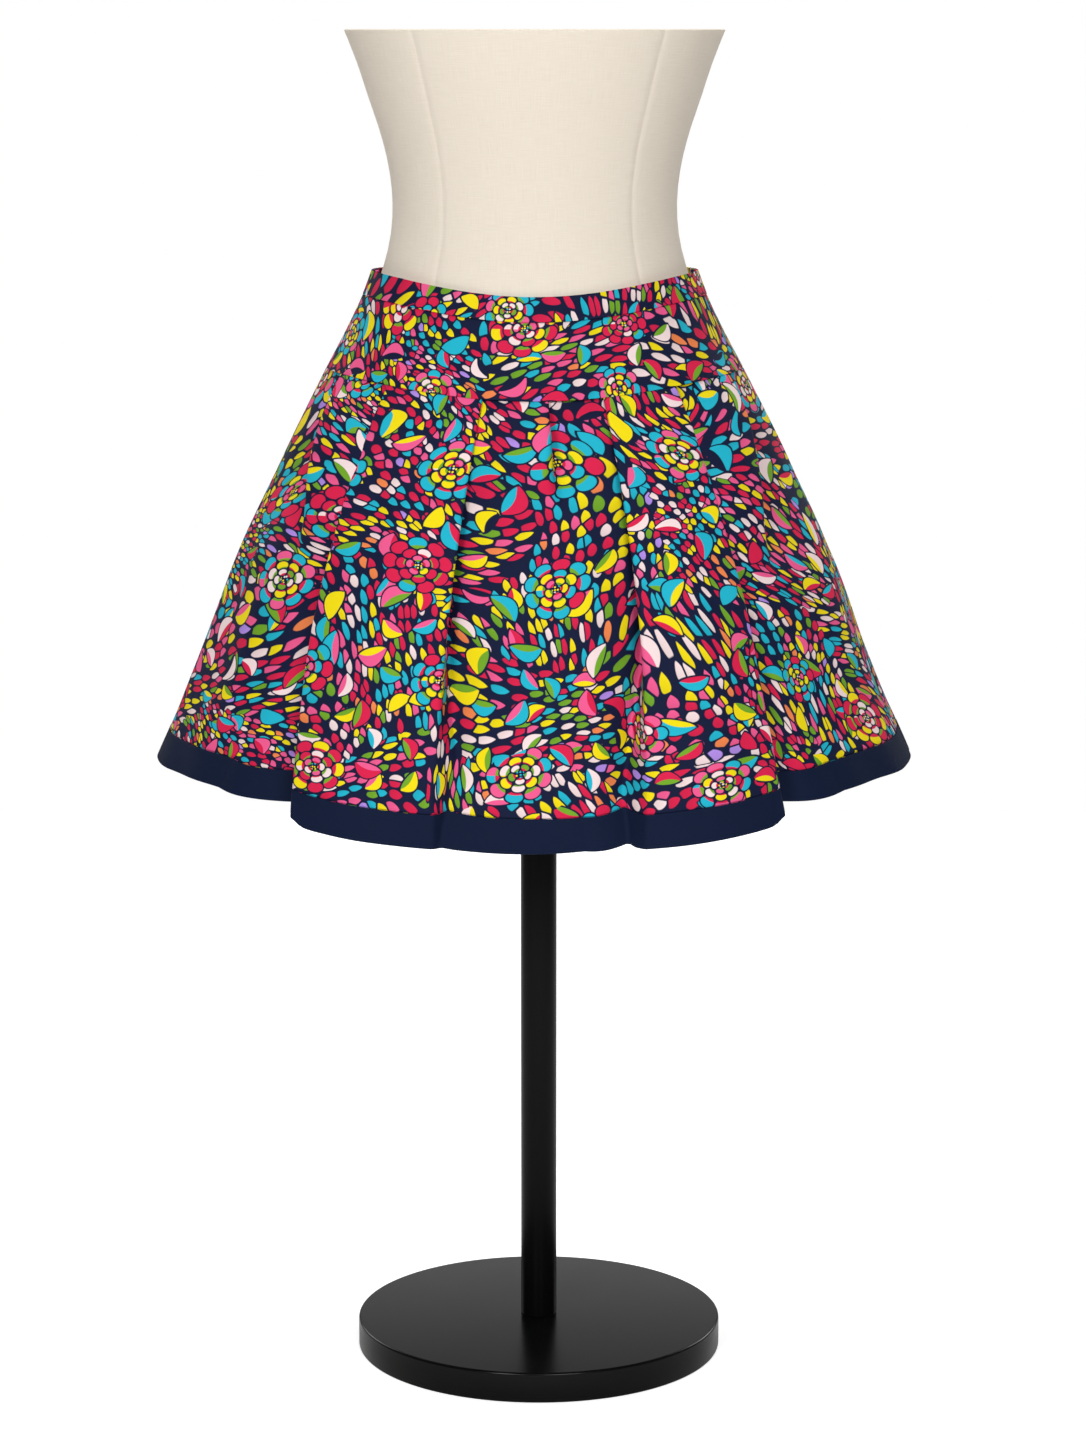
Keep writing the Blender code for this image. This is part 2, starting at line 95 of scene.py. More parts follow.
# Seams of the form's cover, in degrees from the middle front.
FORM_SEAMS = [-141, -90, -39, 42, 90, 141, 180]
FORM_SEAM_HALF = 0.0011
FORM_SEAM_DEPTH = 0.0004

# ---- cloth, as in the solids
WAISTBAND_SEAM = 0.020
YOKE_SEAM = 0.085
HEM_BAND_SEAM = 0.402
HEM = 0.430

Level = namedtuple("Level", "down side_z front_dip back_dip half_width front back")
LEVELS = table(Level, [
    (0.0, 0.891, 0.015, 0.006, 0.129, 0.1, 0.102),
    (0.02, 0.872, 0.015, 0.006, 0.1362, 0.107, 0.1092),
    (0.0525, 0.8425, 0.015, 0.007, 0.1502, 0.1205, 0.123),
    (0.085, 0.814, 0.015, 0.008, 0.1655, 0.135, 0.138),
    (0.171, 0.734, 0.019, 0.011, 0.2058, 0.1655, 0.17),
    (0.257, 0.6545, 0.024, 0.014, 0.2417, 0.1925, 0.198),
    (0.343, 0.5748, 0.028, 0.017, 0.2715, 0.217, 0.223),
    (0.43, 0.5015, 0.033, 0.02, 0.304, 0.243, 0.249),
])
DIP_ROUNDNESS = 3.0
OVAL_STEPS = 720

Fold = namedtuple(
    "Fold", "name seam_deg middle_deg hem_deg over underlay hem_turn hem_radius open_at middle_out"
)
# A fold whose edge flattens into a faint ridge: its turn and radius at the hem.
FLAT = (5, 0.010)
FRONT_FOLDS = table(Fold, [
    ("side right", -67, -52, -54, 1, 0.007, *FLAT, 0.42, -0.006),
    ("outer right", -43.5, -42.2, -36.2, 1, 0.024, 104, 0.0052, 1.0, -0.004),
    ("inner right", -14.2, -15.4, -14.2, -1, 0.014, 24, 0.005, 1.0, 0.003),
    ("centre", 3.6, 5.0, 6.0, -1, 0.006, *FLAT, 0.24, -0.001),
    ("inner left", 18.9, 18.7, 15.4, 1, 0.016, 44, 0.0045, 1.0, 0.003),
    ("outer left", 41.4, 40.4, 37.4, -1, 0.024, 104, 0.0052, 1.0, -0.003),
    ("side left", 68, 50.5, 52, -1, 0.007, *FLAT, 0.46, -0.006),
])
BACK_LEFT_FOLDS = table(Fold, [
    ("side left", 116, 123, 127, 1, 0.007, *FLAT, 0.40, -0.006),
    ("outer left", 138, 139.5, 143, 1, 0.024, 100, 0.0052, 1.0, 0.0),
    ("inner left", 163, 163, 165, -1, 0.016, 40, 0.0045, 1.0, 0.003),
])
BACK_RIGHT_FOLDS = table(Fold, [
    ("inner right", -163.5, -162, -164, 1, 0.015, 34, 0.0045, 1.0, 0.003),
    ("outer right", -138.5, -138, -142, -1, 0.024, 106, 0.0052, 1.0, 0.0),
    ("side right", -115, -121, -125, -1, 0.007, *FLAT, 0.44, -0.006),
])
SHUT_TURN = 180
SHUT_RADIUS = 0.0013
OPENING_EASE = 1.25
SHUT_SHIFT = 0.0026
SHIFT_ENDS = 0.10
SET_BACK_LIFT = 0.33
# The hem rolls up this much at an outer fold, over this angle, from this share of the way down.
CORNER_LIFT = 0.0055
CORNER_DEG = 1.7
CORNER_STARTS = 0.91
BACK_DEG = 180

Panel = namedtuple("Panel", "columns crown")
FRONT_PANELS = table(Panel, [
    *((20, 0.003), (20, 0.002), (24, 0.006), (22, 0.002)),
    *((16, 0.002), (24, 0.007), (20, 0.002), (20, 0.003)),
])
BACK_LEFT_PANELS = table(Panel, [(20, 0.003), (20, 0.002), (24, 0.006), (20, 0.003)])
BACK_RIGHT_PANELS = table(Panel, [(20, 0.003), (24, 0.007), (20, 0.002), (20, 0.003)])

# ---- cloth, finer than the solids
ARC_STEPS = 9
UNDERLAY_STEPS = 3
FITTED_COLUMNS = 84
ROW_STEP = 0.0032
PRINT_CLOTH = 0.0011
WAISTBAND_CLOTH = 0.0018
BAND_CLOTH = 0.0014
# A fold with a valley turns in at least this far. Its low side dips deeper than in the solids.
VALLEY_TURN = 62
VALLEY_STARTS = 0.30
VALLEY_ENDS = 0.80
Valley = namedtuple("Valley", "depth hem_depth width")
VALLEYS = {
    "outer right": Valley(0.015, 0.007, 0.060),
    "outer left": Valley(0.015, 0.008, 0.050),
    "inner right": Valley(0.006, 0.001, 0.026),
    "inner left": Valley(0.007, 0.003, 0.026),
}
NO_VALLEY = Valley(0.0, 0.0, 1.0)
# A piece goes on behind its neighbour by this much, and bends in over this length.
TUCK = 0.005
TUCK_TURN = 0.0012
TUCK_ROWS = [-1.0, -0.75, -0.5, -0.25, 0.0, 0.3]
# Seam allowances at the sides and middle back turn in.
ALLOWANCE_RADIUS = 0.0007
ALLOWANCE_SIDE = 0.0045
ALLOWANCE_BACK = 0.0080
ALLOWANCE_ROOM = 0.00005
# Edges sharper than this are rounded, on cloth and on the zip's metal, which gets this width.
CLOTH_EDGE_DEG, METAL_EDGE_DEG = 65, 35
METAL_ROUNDING = 0.00025
# How far apart the flat cuts of the pieces lie on the print, from place to place and kind to kind.
CUT_STEPS = (1.7, 0.9)

# Soft ridges and troughs that hang down the skirt; they start and end at shares of the way down.
# The stiffer hem band irons out this share of them.
HEM_CALM = 0.5
Crease = namedtuple(
    "Crease", "seam_deg hem_deg width_deg height starts ends", defaults=[1.30]
)
CREASES = table(Crease, [
    (-84, -80, 5.5, 0.0022, 0.2),
    (-76, -70, 4.0, -0.0018, 0.1),
    (-60, -62, 3.6, 0.0015, 0.3),
    (-48, -47, 2.4, -0.0012, 0.25, 1.2),
    (-36, -30, 2.8, -0.0013, 0.02, 0.8),
    (-29, -25, 3.6, 0.0014, 0.1),
    (-21, -20, 2.6, -0.0008, 0.05, 0.6),
    (-8, -6, 3.0, 0.0012, 0.35),
    (0, 1, 2.4, -0.0008, 0.1, 0.9),
    (10, 11, 2.2, 0.0007, 0.2),
    (24, 22, 2.6, -0.001, 0.02, 0.7),
    (31, 27, 3.4, 0.0015, 0.15),
    (37, 33, 2.2, -0.0009, 0.3, 1.2),
    (47, 45, 2.6, 0.0012, 0.3),
    (59, 62, 4.2, -0.0016, 0.15),
    (74, 71, 4.6, 0.0024, 0.2),
    (85, 82, 4.0, -0.0015, 0.3),
    (97, 99, 4.4, 0.0018, 0.15),
    (108, 110, 4.0, -0.0019, 0.25),
    (128, 133, 3.0, 0.0011, 0.05, 0.9),
    (146, 150, 3.0, -0.0012, 0.02, 0.75),
    (154, 156, 3.4, 0.0016, 0.2),
    (171, 171, 2.8, -0.001, 0.25),
    (-172, -173, 3.0, 0.0011, 0.2),
    (-156, -158, 3.2, 0.0013, 0.05, 0.8),
    (-149, -151, 3.0, -0.0013, 0.2),
    (-130, -134, 2.8, 0.001, 0.2, 1.2),
    (-108, -107, 4.6, 0.0021, 0.2),
    (-98, -96, 3.8, -0.0016, 0.1),
])
# Faint drag lines of the fitted pieces; the slope is in metres down for each degree.
Drag = namedtuple("Drag", "middle_deg down slope length_deg thick height")
DRAGS = table(Drag, [
    (-78, 0.04, 0.0005, 9, 0.005, 0.0007),
    (-70, 0.058, 0.00065, 11, 0.0055, -0.0006),
    (-52, 0.036, 0.00025, 10, 0.0045, 0.0004),
    (-24, 0.047, -0.0001, 12, 0.006, -0.0004),
    (6, 0.035, 0.00012, 14, 0.0045, 0.0004),
    (33, 0.052, -0.0002, 11, 0.0055, 0.0004),
    (61, 0.04, -0.00045, 10, 0.005, -0.0005),
    (76, 0.05, -0.0006, 9, 0.005, 0.0007),
    (104, 0.045, 0.00045, 9, 0.0055, -0.0006),
    (131, 0.056, 0.0002, 12, 0.006, 0.0004),
    (158, 0.038, -0.0003, 9, 0.0045, -0.0005),
    (171, 0.058, -0.0005, 7, 0.005, 0.0006),
    (-170, 0.044, 0.0005, 7, 0.005, 0.0006),
    (-154, 0.06, 0.00025, 10, 0.006, -0.0004),
    (-126, 0.042, -0.0002, 12, 0.0055, 0.0004),
    (-102, 0.054, -0.0005, 9, 0.005, 0.0006),
])
# Small puckers along a seam: waves in cycles for each degree, their phase and share.
PUCKER_WAVES = [(0.43, 0.7, 0.5), (0.71, 2.9, 0.3), (1.13, 4.4, 0.2)]
# Faint swells over the cloth: cycles for each degree and each metre down, and a phase.
SWELLS = [(0.021, 2.3, 0.4), (0.034, -3.9, 2.2), (0.055, 6.1, 4.0), (0.083, -8.7, 1.1)]


def curve_through(rows, key, at):
    """A table read at one value of its key, on smooth curves through its rows."""
    keys = np.array([getattr(row, key) for row in rows])
    values = np.array(rows, dtype=float)
    slopes = np.gradient(values, keys, axis=0)
    low = int(np.clip(np.searchsorted(keys, at) - 1, 0, len(keys) - 2))
    span = keys[low + 1] - keys[low]
    u = (at - keys[low]) / span
    read = (
        (2 * u**3 - 3 * u**2 + 1) * values[low]
        + (u**3 - 2 * u**2 + u) * span * slopes[low]
        + (3 * u**2 - 2 * u**3) * values[low + 1]
        + (u**3 - u**2) * span * slopes[low + 1]
    )
    return type(rows[0])(*read)


def pairs(along, out):
    return np.stack([along, out], axis=1)


def ease(share):
    share = np.clip(share, 0.0, 1.0)
    return share * share * (3 - 2 * share)


# ---- finishes
def writes(operation):
    return lambda wire, *others: wire.math(operation, *others)


class Wire:
    """One value in a finish. Each sum written on it adds a Math node."""

    def __init__(self, finish, node, output=0):
        self.finish, self.node, self.socket = finish, node, node.outputs[output]

    def also(self, output):
        return Wire(self.finish, self.node, output)

    def math(self, operation, *others):
        return self.finish.add("Math", {"operation": operation}, dict(enumerate((self, *others))))

    def clamped(self):
        return self.finish.add("Clamp", {}, {0: self})

    def __rsub__(self, other):
        return self.finish.add("Math", {"operation": "SUBTRACT"}, {0: other, 1: self})

    __add__ = __radd__ = writes("ADD")
    __mul__ = __rmul__ = writes("MULTIPLY")
    __sub__, __truediv__, __pow__ = writes("SUBTRACT"), writes("DIVIDE"), writes("POWER")
    __gt__, __lt__, __abs__ = writes("GREATER_THAN"), writes("LESS_THAN"), writes("ABSOLUTE")
    sine, fraction = writes("SINE"), writes("FRACT")


class Finish:
    """A material, and the one way that nodes are added to it."""

    def __init__(self, name, **settings):
        self.material = bpy.data.materials.new(name)
        self.material.use_nodes = True
        self.tree = self.material.node_tree
        self.shader = self.tree.nodes["Principled BSDF"]
        for socket, value in settings.items():
            self.shader.inputs[socket.replace("_", " ")].default_value = value

    def add(self, kind, settings, inputs, output=0):
        node = self.tree.nodes.new("ShaderNode" + kind)
        for name, value in settings.items():
            if name == "stops":
                self.fill_ramp(node.color_ramp, value)
            else:
                setattr(node, name, value)
        for socket, value in inputs.items():
            self.feed(node.inputs[socket], value)
        return Wire(self, node, output)

    def feed(self, socket, value):
        if isinstance(value, Wire):
            self.tree.links.new(value.socket, socket)
        else:
            socket.default_value = value

    def fill_ramp(self, ramp, stops):
        for extra in list(ramp.elements)[1:]:
            ramp.elements.remove(extra)
        ramp.elements[0].position, ramp.elements[0].color = stops[0][0], (*stops[0][1], 1)
        for place, colour in stops[1:]:
            ramp.elements.new(place).color = (*colour, 1)

    def vector(self, operation, *inputs):
        return self.add("VectorMath", {"operation": operation}, dict(enumerate(inputs)))

    def turned(self, vector, angle):
        settings = {"rotation_type": "Z_AXIS"}
        return self.add("VectorRotate", settings, {"Vector": vector, "Angle": angle})

    def parts(self, vector):
        split = self.add("SeparateXYZ", {}, {0: vector})
        return split, split.also(1), split.also(2)

    def mixed(self, factor, low, high, blend="MIX"):
        """Colour low where the factor is 0 and high where it is 1."""
        low = (*low, 1) if isinstance(low, tuple) else low
        high = (*high, 1) if isinstance(high, tuple) else high
        settings = {"data_type": "RGBA", "blend_type": blend}
        return self.add("Mix", settings, {0: factor, 6: low, 7: high}, 2)

    def cells(self, vector, scale, jitter, feature="F1", output="Distance"):
        settings = {"voronoi_dimensions": "2D", "feature": feature}
        inputs = {"Vector": vector, "Scale": scale, "Randomness": jitter}
        return self.add("TexVoronoi", settings, inputs, output)

    def noise(self, vector, scale, detail=2.0, dimensions="3D", output=0):
        inputs = {"Vector": vector, "Scale": scale, "Detail": detail}
        return self.add("TexNoise", {"noise_dimensions": dimensions}, inputs, output)

    def paint(self, colour, bump, bump_height, roughness=None):
        self.feed(self.shader.inputs["Base Color"], colour)
        if roughness is not None:
            self.feed(self.shader.inputs["Roughness"], roughness)
        raised = self.add("Bump", {}, {"Distance": bump_height, "Height": bump})
        self.feed(self.shader.inputs["Normal"], raised)


NAVY = (0.0060, 0.0095, 0.036)
TURQUOISE = (0.014, 0.405, 0.540)
YELLOW = (0.790, 0.640, 0.006)
PINK = (0.760, 0.095, 0.250)
CRIMSON = (0.620, 0.014, 0.065)
PALE = (0.800, 0.640, 0.640)
GREEN = (0.150, 0.340, 0.022)
ORANGE = (0.800, 0.220, 0.070)
LILAC = (0.400, 0.240, 0.700)
BAND_NAVY = (0.0050, 0.0102, 0.0315)
BAND_SHADES = (0.86, 1.18)
LINEN_DARK, LINEN_LIGHT = (0.645, 0.570, 0.470), (0.815, 0.745, 0.645)
LINEN_BLOTCH = (0.77, 0.69, 0.58)
# From one thread to the next, and how high each finish is raised.
THREAD, LINEN_THREAD = 0.00042, 0.00062
COTTON_BUMP, LINEN_BUMP, PAINT_BUMP = 0.00004, 0.00010, 0.000012
ENAMEL_BUMP, TAPE_BUMP = 0.00001, 0.0001
# The linen is wrapped round a form of this radius.
WRAP_RADIUS = 0.125

# The print, in millimetres. Each colour has its share of the whole.
PETAL_COLOURS = (
    *((PINK, 0.13), (YELLOW, 0.19), (TURQUOISE, 0.16), (CRIMSON, 0.26)),
    *((PALE, 0.12), (GREEN, 0.07), (ORANGE, 0.04), (LILAC, 0.02)),
)
LEAF_COLOURS = ((TURQUOISE, 0.30), (PINK, 0.17), (YELLOW, 0.20), (CRIMSON, 0.20), (PALE, 0.13))
LEAF_INSIDES = (
    *((GREEN, 0.34), (CRIMSON, 0.16), (YELLOW, 0.16)),
    *((PINK, 0.10), (TURQUOISE, 0.14), (NAVY, 0.10)),
)
DOT_COLOURS = ((YELLOW, 0.5), (PALE, 0.2), (TURQUOISE, 0.3))
# Which way petals run, the size of their cells, how uneven they are, and the patches they grow in.
PetalRow = namedtuple("PetalRow", "turn_deg size jitter grows")
PETAL_ROWS = table(PetalRow, [
    (14, (12.8, 7.8), 0.72, lambda red, green: (red < 0.55) * (green < 0.66)),
    (104, (11.6, 6.8), 0.72, lambda red, green: (red > 0.55) * (green < 0.66)),
    (-38, (8.6, 5.4), 0.78, lambda red, green: green > 0.66),
])
PATCH = 92
# The rows sway by up to half of this, over this length; the larger motifs less.
SWAY, SWAY_LENGTH, GENTLE = 50, 105, 0.4
# Shares of a petal's cell.
PETAL_REACH, PETAL_GAP, PETAL_LINE, PETAL_EDGE = 0.605, 0.085, 0.12, 0.05
# Leaves: from one to the next, where they start, how many are left out, half their length.
LEAVES = [(29.0, (431, 77, 0), 0.30, 9.2), (43.0, (-57, 913, 0), 0.45, 11.6)]
LEAF_BOW, LEAF_LINE = 0.30, 1.2
INK_EDGE = 0.4
BLOSSOM_PITCH, BLOSSOM_START = 84, (-211, 389, 0)
BLOSSOM_SIZE, BLOSSOM_GROWTH = 17.0, 8.0
# Petals in the ring, how far out they stand, half their length, their phase and colours.
BLOSSOM_RINGS = [
    (9, 0.79, 0.20, 0.0, ((PINK, 0.28), (TURQUOISE, 0.30), (CRIMSON, 0.24), (YELLOW, 0.18))),
    (7, 0.47, 0.15, 0.3, ((CRIMSON, 0.3), (PALE, 0.16), (YELLOW, 0.24), (TURQUOISE, 0.3))),
    (5, 0.24, 0.11, 0.7, ((YELLOW, 0.3), (PINK, 0.3), (PALE, 0.2), (GREEN, 0.2))),
]
BLOSSOM_GAP, BLOSSOM_LINE = 0.65, 1.0
DOT_PITCH = 2.1


def palette(finish, value, colours):
    """A colour picked by a random value."""
    total = sum(share for _, share in colours)
    stops, at = [], 0.0
    for colour, share in colours:
        stops.append((at, colour))
        at += share / total
    ramp = finish.add("ValToRGB", {"stops": stops}, {0: value})
    ramp.node.color_ramp.interpolation = "CONSTANT"
    return ramp


def crisp(distance, softness):
    """A mask from a signed distance, with an edge as soft as stated."""
    return (distance / softness + 0.5).clamped()


def petal_layer(finish, cloth, row):
    """Small petals, one in each stretched cell: mask, line, random values and places."""
    turn = math.radians(row.turn_deg)
    long, wide = row.size
    turned = finish.turned(cloth, -turn)
    stretched = finish.vector("MULTIPLY", turned, (1 / long, 1 / wide, 1))
    cell = finish.cells(stretched, 1.0, row.jitter)
    gap = finish.cells(stretched, 1.0, row.jitter, "DISTANCE_TO_EDGE")
    along, across, _ = finish.parts(finish.vector("SUBTRACT", stretched, cell.also("Position")))
    random = finish.parts(cell.also("Color"))
    point = 0.14 + 0.22 * (along + 0.5)
    body = (along * along + (abs(across) + point) ** 2) ** 0.5
    shape = PETAL_REACH - body
    mask = crisp(shape.math("SMOOTH_MIN", gap * 1.1 - PETAL_GAP, 0.09), PETAL_EDGE)
    outline = crisp(shape + PETAL_LINE, PETAL_EDGE)
    home = finish.vector("MULTIPLY", cell.also("Position"), (long, wide, 1))
    return mask, outline, random, finish.turned(home, turn), (along, across)


def petal_print():
    """Small petals in curving rows, two-tone leaves and ringed blossoms on dark navy cotton."""
    finish = Finish("petal print cotton", Roughness=0.75, Specular_IOR_Level=0.10)
    flat = finish.add("UVMap", {"uv_map": "cut"}, {})
    cloth = finish.vector("SCALE", flat, (0, 0, 0), (0, 0, 0))
    cloth.node.inputs["Scale"].default_value = 1000.0
    sway = finish.noise(cloth, 1 / SWAY_LENGTH, 0.0, "2D", "Color")
    sway = finish.vector("MULTIPLY_ADD", sway, (SWAY, SWAY, 0), (-SWAY / 2, -SWAY / 2, 0))
    flow = finish.vector("ADD", cloth, sway)
    gentle = finish.vector("MULTIPLY_ADD", sway, (GENTLE, GENTLE, 0), cloth)

    colour = NAVY
    for row in PETAL_ROWS:
        mask, outline, random, home, (along, across) = petal_layer(finish, flow, row)
        tint = palette(finish, random[0], PETAL_COLOURS)
        shade = (0.93 + 0.16 * along - 0.10 * across).clamped()
        tint = finish.mixed(1.0, tint, shade, "MULTIPLY")
        patch = finish.cells(home, 1 / PATCH, 1.0)
        red, green, _ = finish.parts(patch.also("Color"))
        inside = row.grows(red, green)
        colour = finish.mixed(outline * inside, colour, NAVY)
        colour = finish.mixed(mask * inside, colour, tint)
    for leaf in LEAVES:
        colour = leaf_layer(finish, gentle, colour, *leaf)
    colour = blossom_layer(finish, gentle, colour)
    finish.paint(colour, weave(finish, flat, THREAD), COTTON_BUMP)
    return finish.material


def leaf_layer(finish, flow, colour, pitch, apart, least, half_long):
    """Bowed two-tone leaves, each turned its own way."""
    moved = finish.vector("ADD", flow, apart)
    cell = finish.cells(moved, 1 / pitch, 0.8)
    local = finish.vector("SUBTRACT", moved, cell.also("Position"))
    red, green, blue = finish.parts(cell.also("Color"))
    along, across, _ = finish.parts(finish.turned(local, red * math.tau))
    bow = across + along * along * (LEAF_BOW / half_long) - 0.11 * half_long
    offset = half_long * 0.62
    body = (along * along + (abs(bow) + offset) ** 2) ** 0.5
    shape = (half_long**2 + offset**2) ** 0.5 - body
    shown = green > least
    outer = palette(finish, blue, LEAF_COLOURS)
    inner = palette(finish, (blue * 7.31).fraction(), LEAF_INSIDES)
    tone = finish.mixed(crisp(bow + 0.12 * half_long, INK_EDGE), inner, outer)
    return inked(finish, colour, shape, LEAF_LINE, shown, tone)


def inked(finish, colour, shape, line, shown, tint):
    """The print so far, under a shape of one tint with a dark line round it."""
    colour = finish.mixed(crisp(shape + line, INK_EDGE) * shown, colour, NAVY)
    return finish.mixed(crisp(shape, INK_EDGE) * shown, colour, tint)


def blossom_layer(finish, flow, colour):
    """Open blossoms: rings of separate rounded petals round a dotted middle."""
    moved = finish.vector("ADD", flow, BLOSSOM_START)
    cell = finish.cells(moved, 1 / BLOSSOM_PITCH, 0.70)
    red, green, blue = finish.parts(cell.also("Color"))
    across, up, _ = finish.parts(finish.vector("SUBTRACT", moved, cell.also("Position")))
    reach = (across * across + up * up) ** 0.5
    angle = up.math("ARCTAN2", across) / math.tau + red
    size = BLOSSOM_SIZE + BLOSSOM_GROWTH * blue
    shown = (green * 5.17).fraction() > 0.30
    colour = finish.mixed(crisp(size * 0.86 - reach, 0.6) * shown, colour, NAVY)
    for count, place, half, phase, colours in BLOSSOM_RINGS:
        turn = angle * count + phase
        number = (turn + 0.5).math("FLOOR")
        round_it = (turn - number) * reach * (math.tau / count)
        half_wide = reach * (math.pi / count) - BLOSSOM_GAP
        half_long = size * half
        out = (reach - size * place) / half_long
        body = (out * out + (round_it / half_wide) ** 2) ** 0.5
        shape = (1 - body) * half_long
        value = (number * 0.618 + blue * 3.7 + phase).fraction()
        both = (value * 0.35 + (blue * 9.1 + phase).fraction() * 0.65).fraction()
        tint = palette(finish, both, colours)
        inner = finish.mixed(value > 0.4, GREEN, CRIMSON)
        tint = finish.mixed(crisp(-0.30 - out, 0.12), tint, inner)
        colour = inked(finish, colour, shape, BLOSSOM_LINE, shown, tint)
    dots = finish.cells(moved, 1 / DOT_PITCH, 0.5)
    dot_tint = palette(finish, dots.also("Color"), DOT_COLOURS)
    middle = crisp(size * 0.13 - reach, INK_EDGE) * shown
    return finish.mixed(middle * crisp(0.33 - dots, 0.08), colour, dot_tint)


def weave(finish, flat, thread):
    """A plain weave's height, over and under."""
    across, down, _ = finish.parts(flat)
    return (across * (math.pi / thread)).sine() * (down * (math.pi / thread)).sine()


def band_cotton():
    """Plain navy cotton of the hem band."""
    finish = Finish("navy band cotton", Roughness=0.72, Specular_IOR_Level=0.06)
    flat = finish.add("UVMap", {"uv_map": "cut"}, {})
    slub = finish.noise(finish.vector("MULTIPLY", flat, (260, 2100, 1)), 1.0, 3.0, "2D")
    tone = finish.mixed(slub, *(tuple(by * part for part in BAND_NAVY) for by in BAND_SHADES))
    finish.paint(tone, weave(finish, flat, THREAD), COTTON_BUMP)
    return finish.material


def cover_linen():
    """Unbleached linen stretched on the form, with uneven threads."""
    finish = Finish("cover linen", Roughness=0.88, Specular_IOR_Level=0.25)
    place = finish.add("TexCoord", {}, {}, "Object")
    x, y, z = finish.parts(place)
    angle = (x - WORN_X).math("ARCTAN2", y * -1)
    wrapped = finish.add("CombineXYZ", {}, {0: angle * WRAP_RADIUS, 1: z})
    level_end = finish.add("CombineXYZ", {}, {0: x, 1: y})
    ends = (abs(z - (FORM_SECTIONS[0].z + FORM_SECTIONS[-1].z) / 2)) > FORM_HALF_WRAP
    flat = finish.mixed(ends, wrapped, level_end)
    upright, level = (
        finish.noise(finish.vector("MULTIPLY", flat, stretch), 1.0, 2.0, "2D")
        for stretch in ((1500, 55, 1), (55, 1500, 1))
    )
    threads = upright * 0.5 + level * 0.5
    blotch = finish.noise(place, 26.0, 3.0)
    tone = finish.mixed(threads, LINEN_DARK, LINEN_LIGHT)
    tone = finish.mixed(blotch * 0.30, tone, LINEN_BLOTCH)
    height = weave(finish, flat, LINEN_THREAD) * 0.5 + threads
    finish.paint(tone, height, LINEN_BUMP)
    return finish.material


def black_paint(name, roughness, gloss):
    """Black paint on steel, very slightly uneven."""
    finish = Finish(name, Specular_IOR_Level=gloss)
    place = finish.add("TexCoord", {}, {}, "Object")
    speck = finish.noise(place, 900.0, 2.0)
    cloud = finish.noise(place, 14.0, 2.0)
    tone = finish.mixed(cloud, (0.0022, 0.0022, 0.0023), (0.0038, 0.0038, 0.0039))
    finish.paint(tone, speck, PAINT_BUMP, roughness + 0.08 * cloud + 0.04 * speck)
    return finish.material


def zip_enamel():
    """Navy enamel, worn to bare metal here and there."""
    finish = Finish("navy zip enamel", Roughness=0.3, Metallic=0.4)
    place = finish.add("TexCoord", {}, {}, "Object")
    wear = finish.noise(place, 420.0, 4.0)
    worn = crisp(wear - 0.66, 0.05)
    tone = finish.mixed(worn, (0.012, 0.018, 0.050), (0.36, 0.37, 0.40))
    finish.paint(tone, wear, ENAMEL_BUMP, 0.26 + 0.25 * wear)
    return finish.material


# ---- cloth surface
class Oval:
    """The plain oval of the cloth at one distance down."""

    def __init__(self, down):
        level = curve_through(LEVELS, "down", down)
        turn = np.radians(np.linspace(-BACK_DEG, BACK_DEG, OVAL_STEPS + 1))
        sine, cosine = np.sin(turn), np.cos(turn)
        depth = np.where(cosine > 0, level.front, level.back)
        dip = np.where(cosine > 0, level.front_dip, level.back_dip)
        self.degrees = np.degrees(turn)
        self.x = WORN_X + level.half_width * sine
        self.y = -depth * cosine
        self.z = level.side_z - dip * np.abs(cosine) ** DIP_ROUNDNESS
        out_x, out_y = sine / level.half_width, -cosine / depth
        size = np.hypot(out_x, out_y)
        self.out_x, self.out_y = out_x / size, out_y / size
        steps = np.hypot(np.diff(self.x), np.diff(self.y))
        along = np.concatenate([[0.0], np.cumsum(steps)])
        self.round = along - np.interp(0.0, self.degrees, along)

    def along(self, degrees):
        return float(np.interp(degrees, self.degrees, self.round))

    def degrees_at(self, along):
        return np.interp(along, self.round, self.degrees)

    def points(self, along, out, lift):
        columns = (self.x, self.y, self.z, self.out_x, self.out_y)
        x, y, z, out_x, out_y = (np.interp(along, self.round, column) for column in columns)
        return np.stack([x + out * out_x, y + out * out_y, z + lift], axis=1)


def share_down(down):
    return max(down - YOKE_SEAM, 0.0) / (HEM - YOKE_SEAM)


def fold_degrees(fold, share):
    low, middle, high = fold.seam_deg, fold.middle_deg, fold.hem_deg
    bend = 2 * (low + high - 2 * middle)
    return low + (high - low - bend) * share + bend * share**2


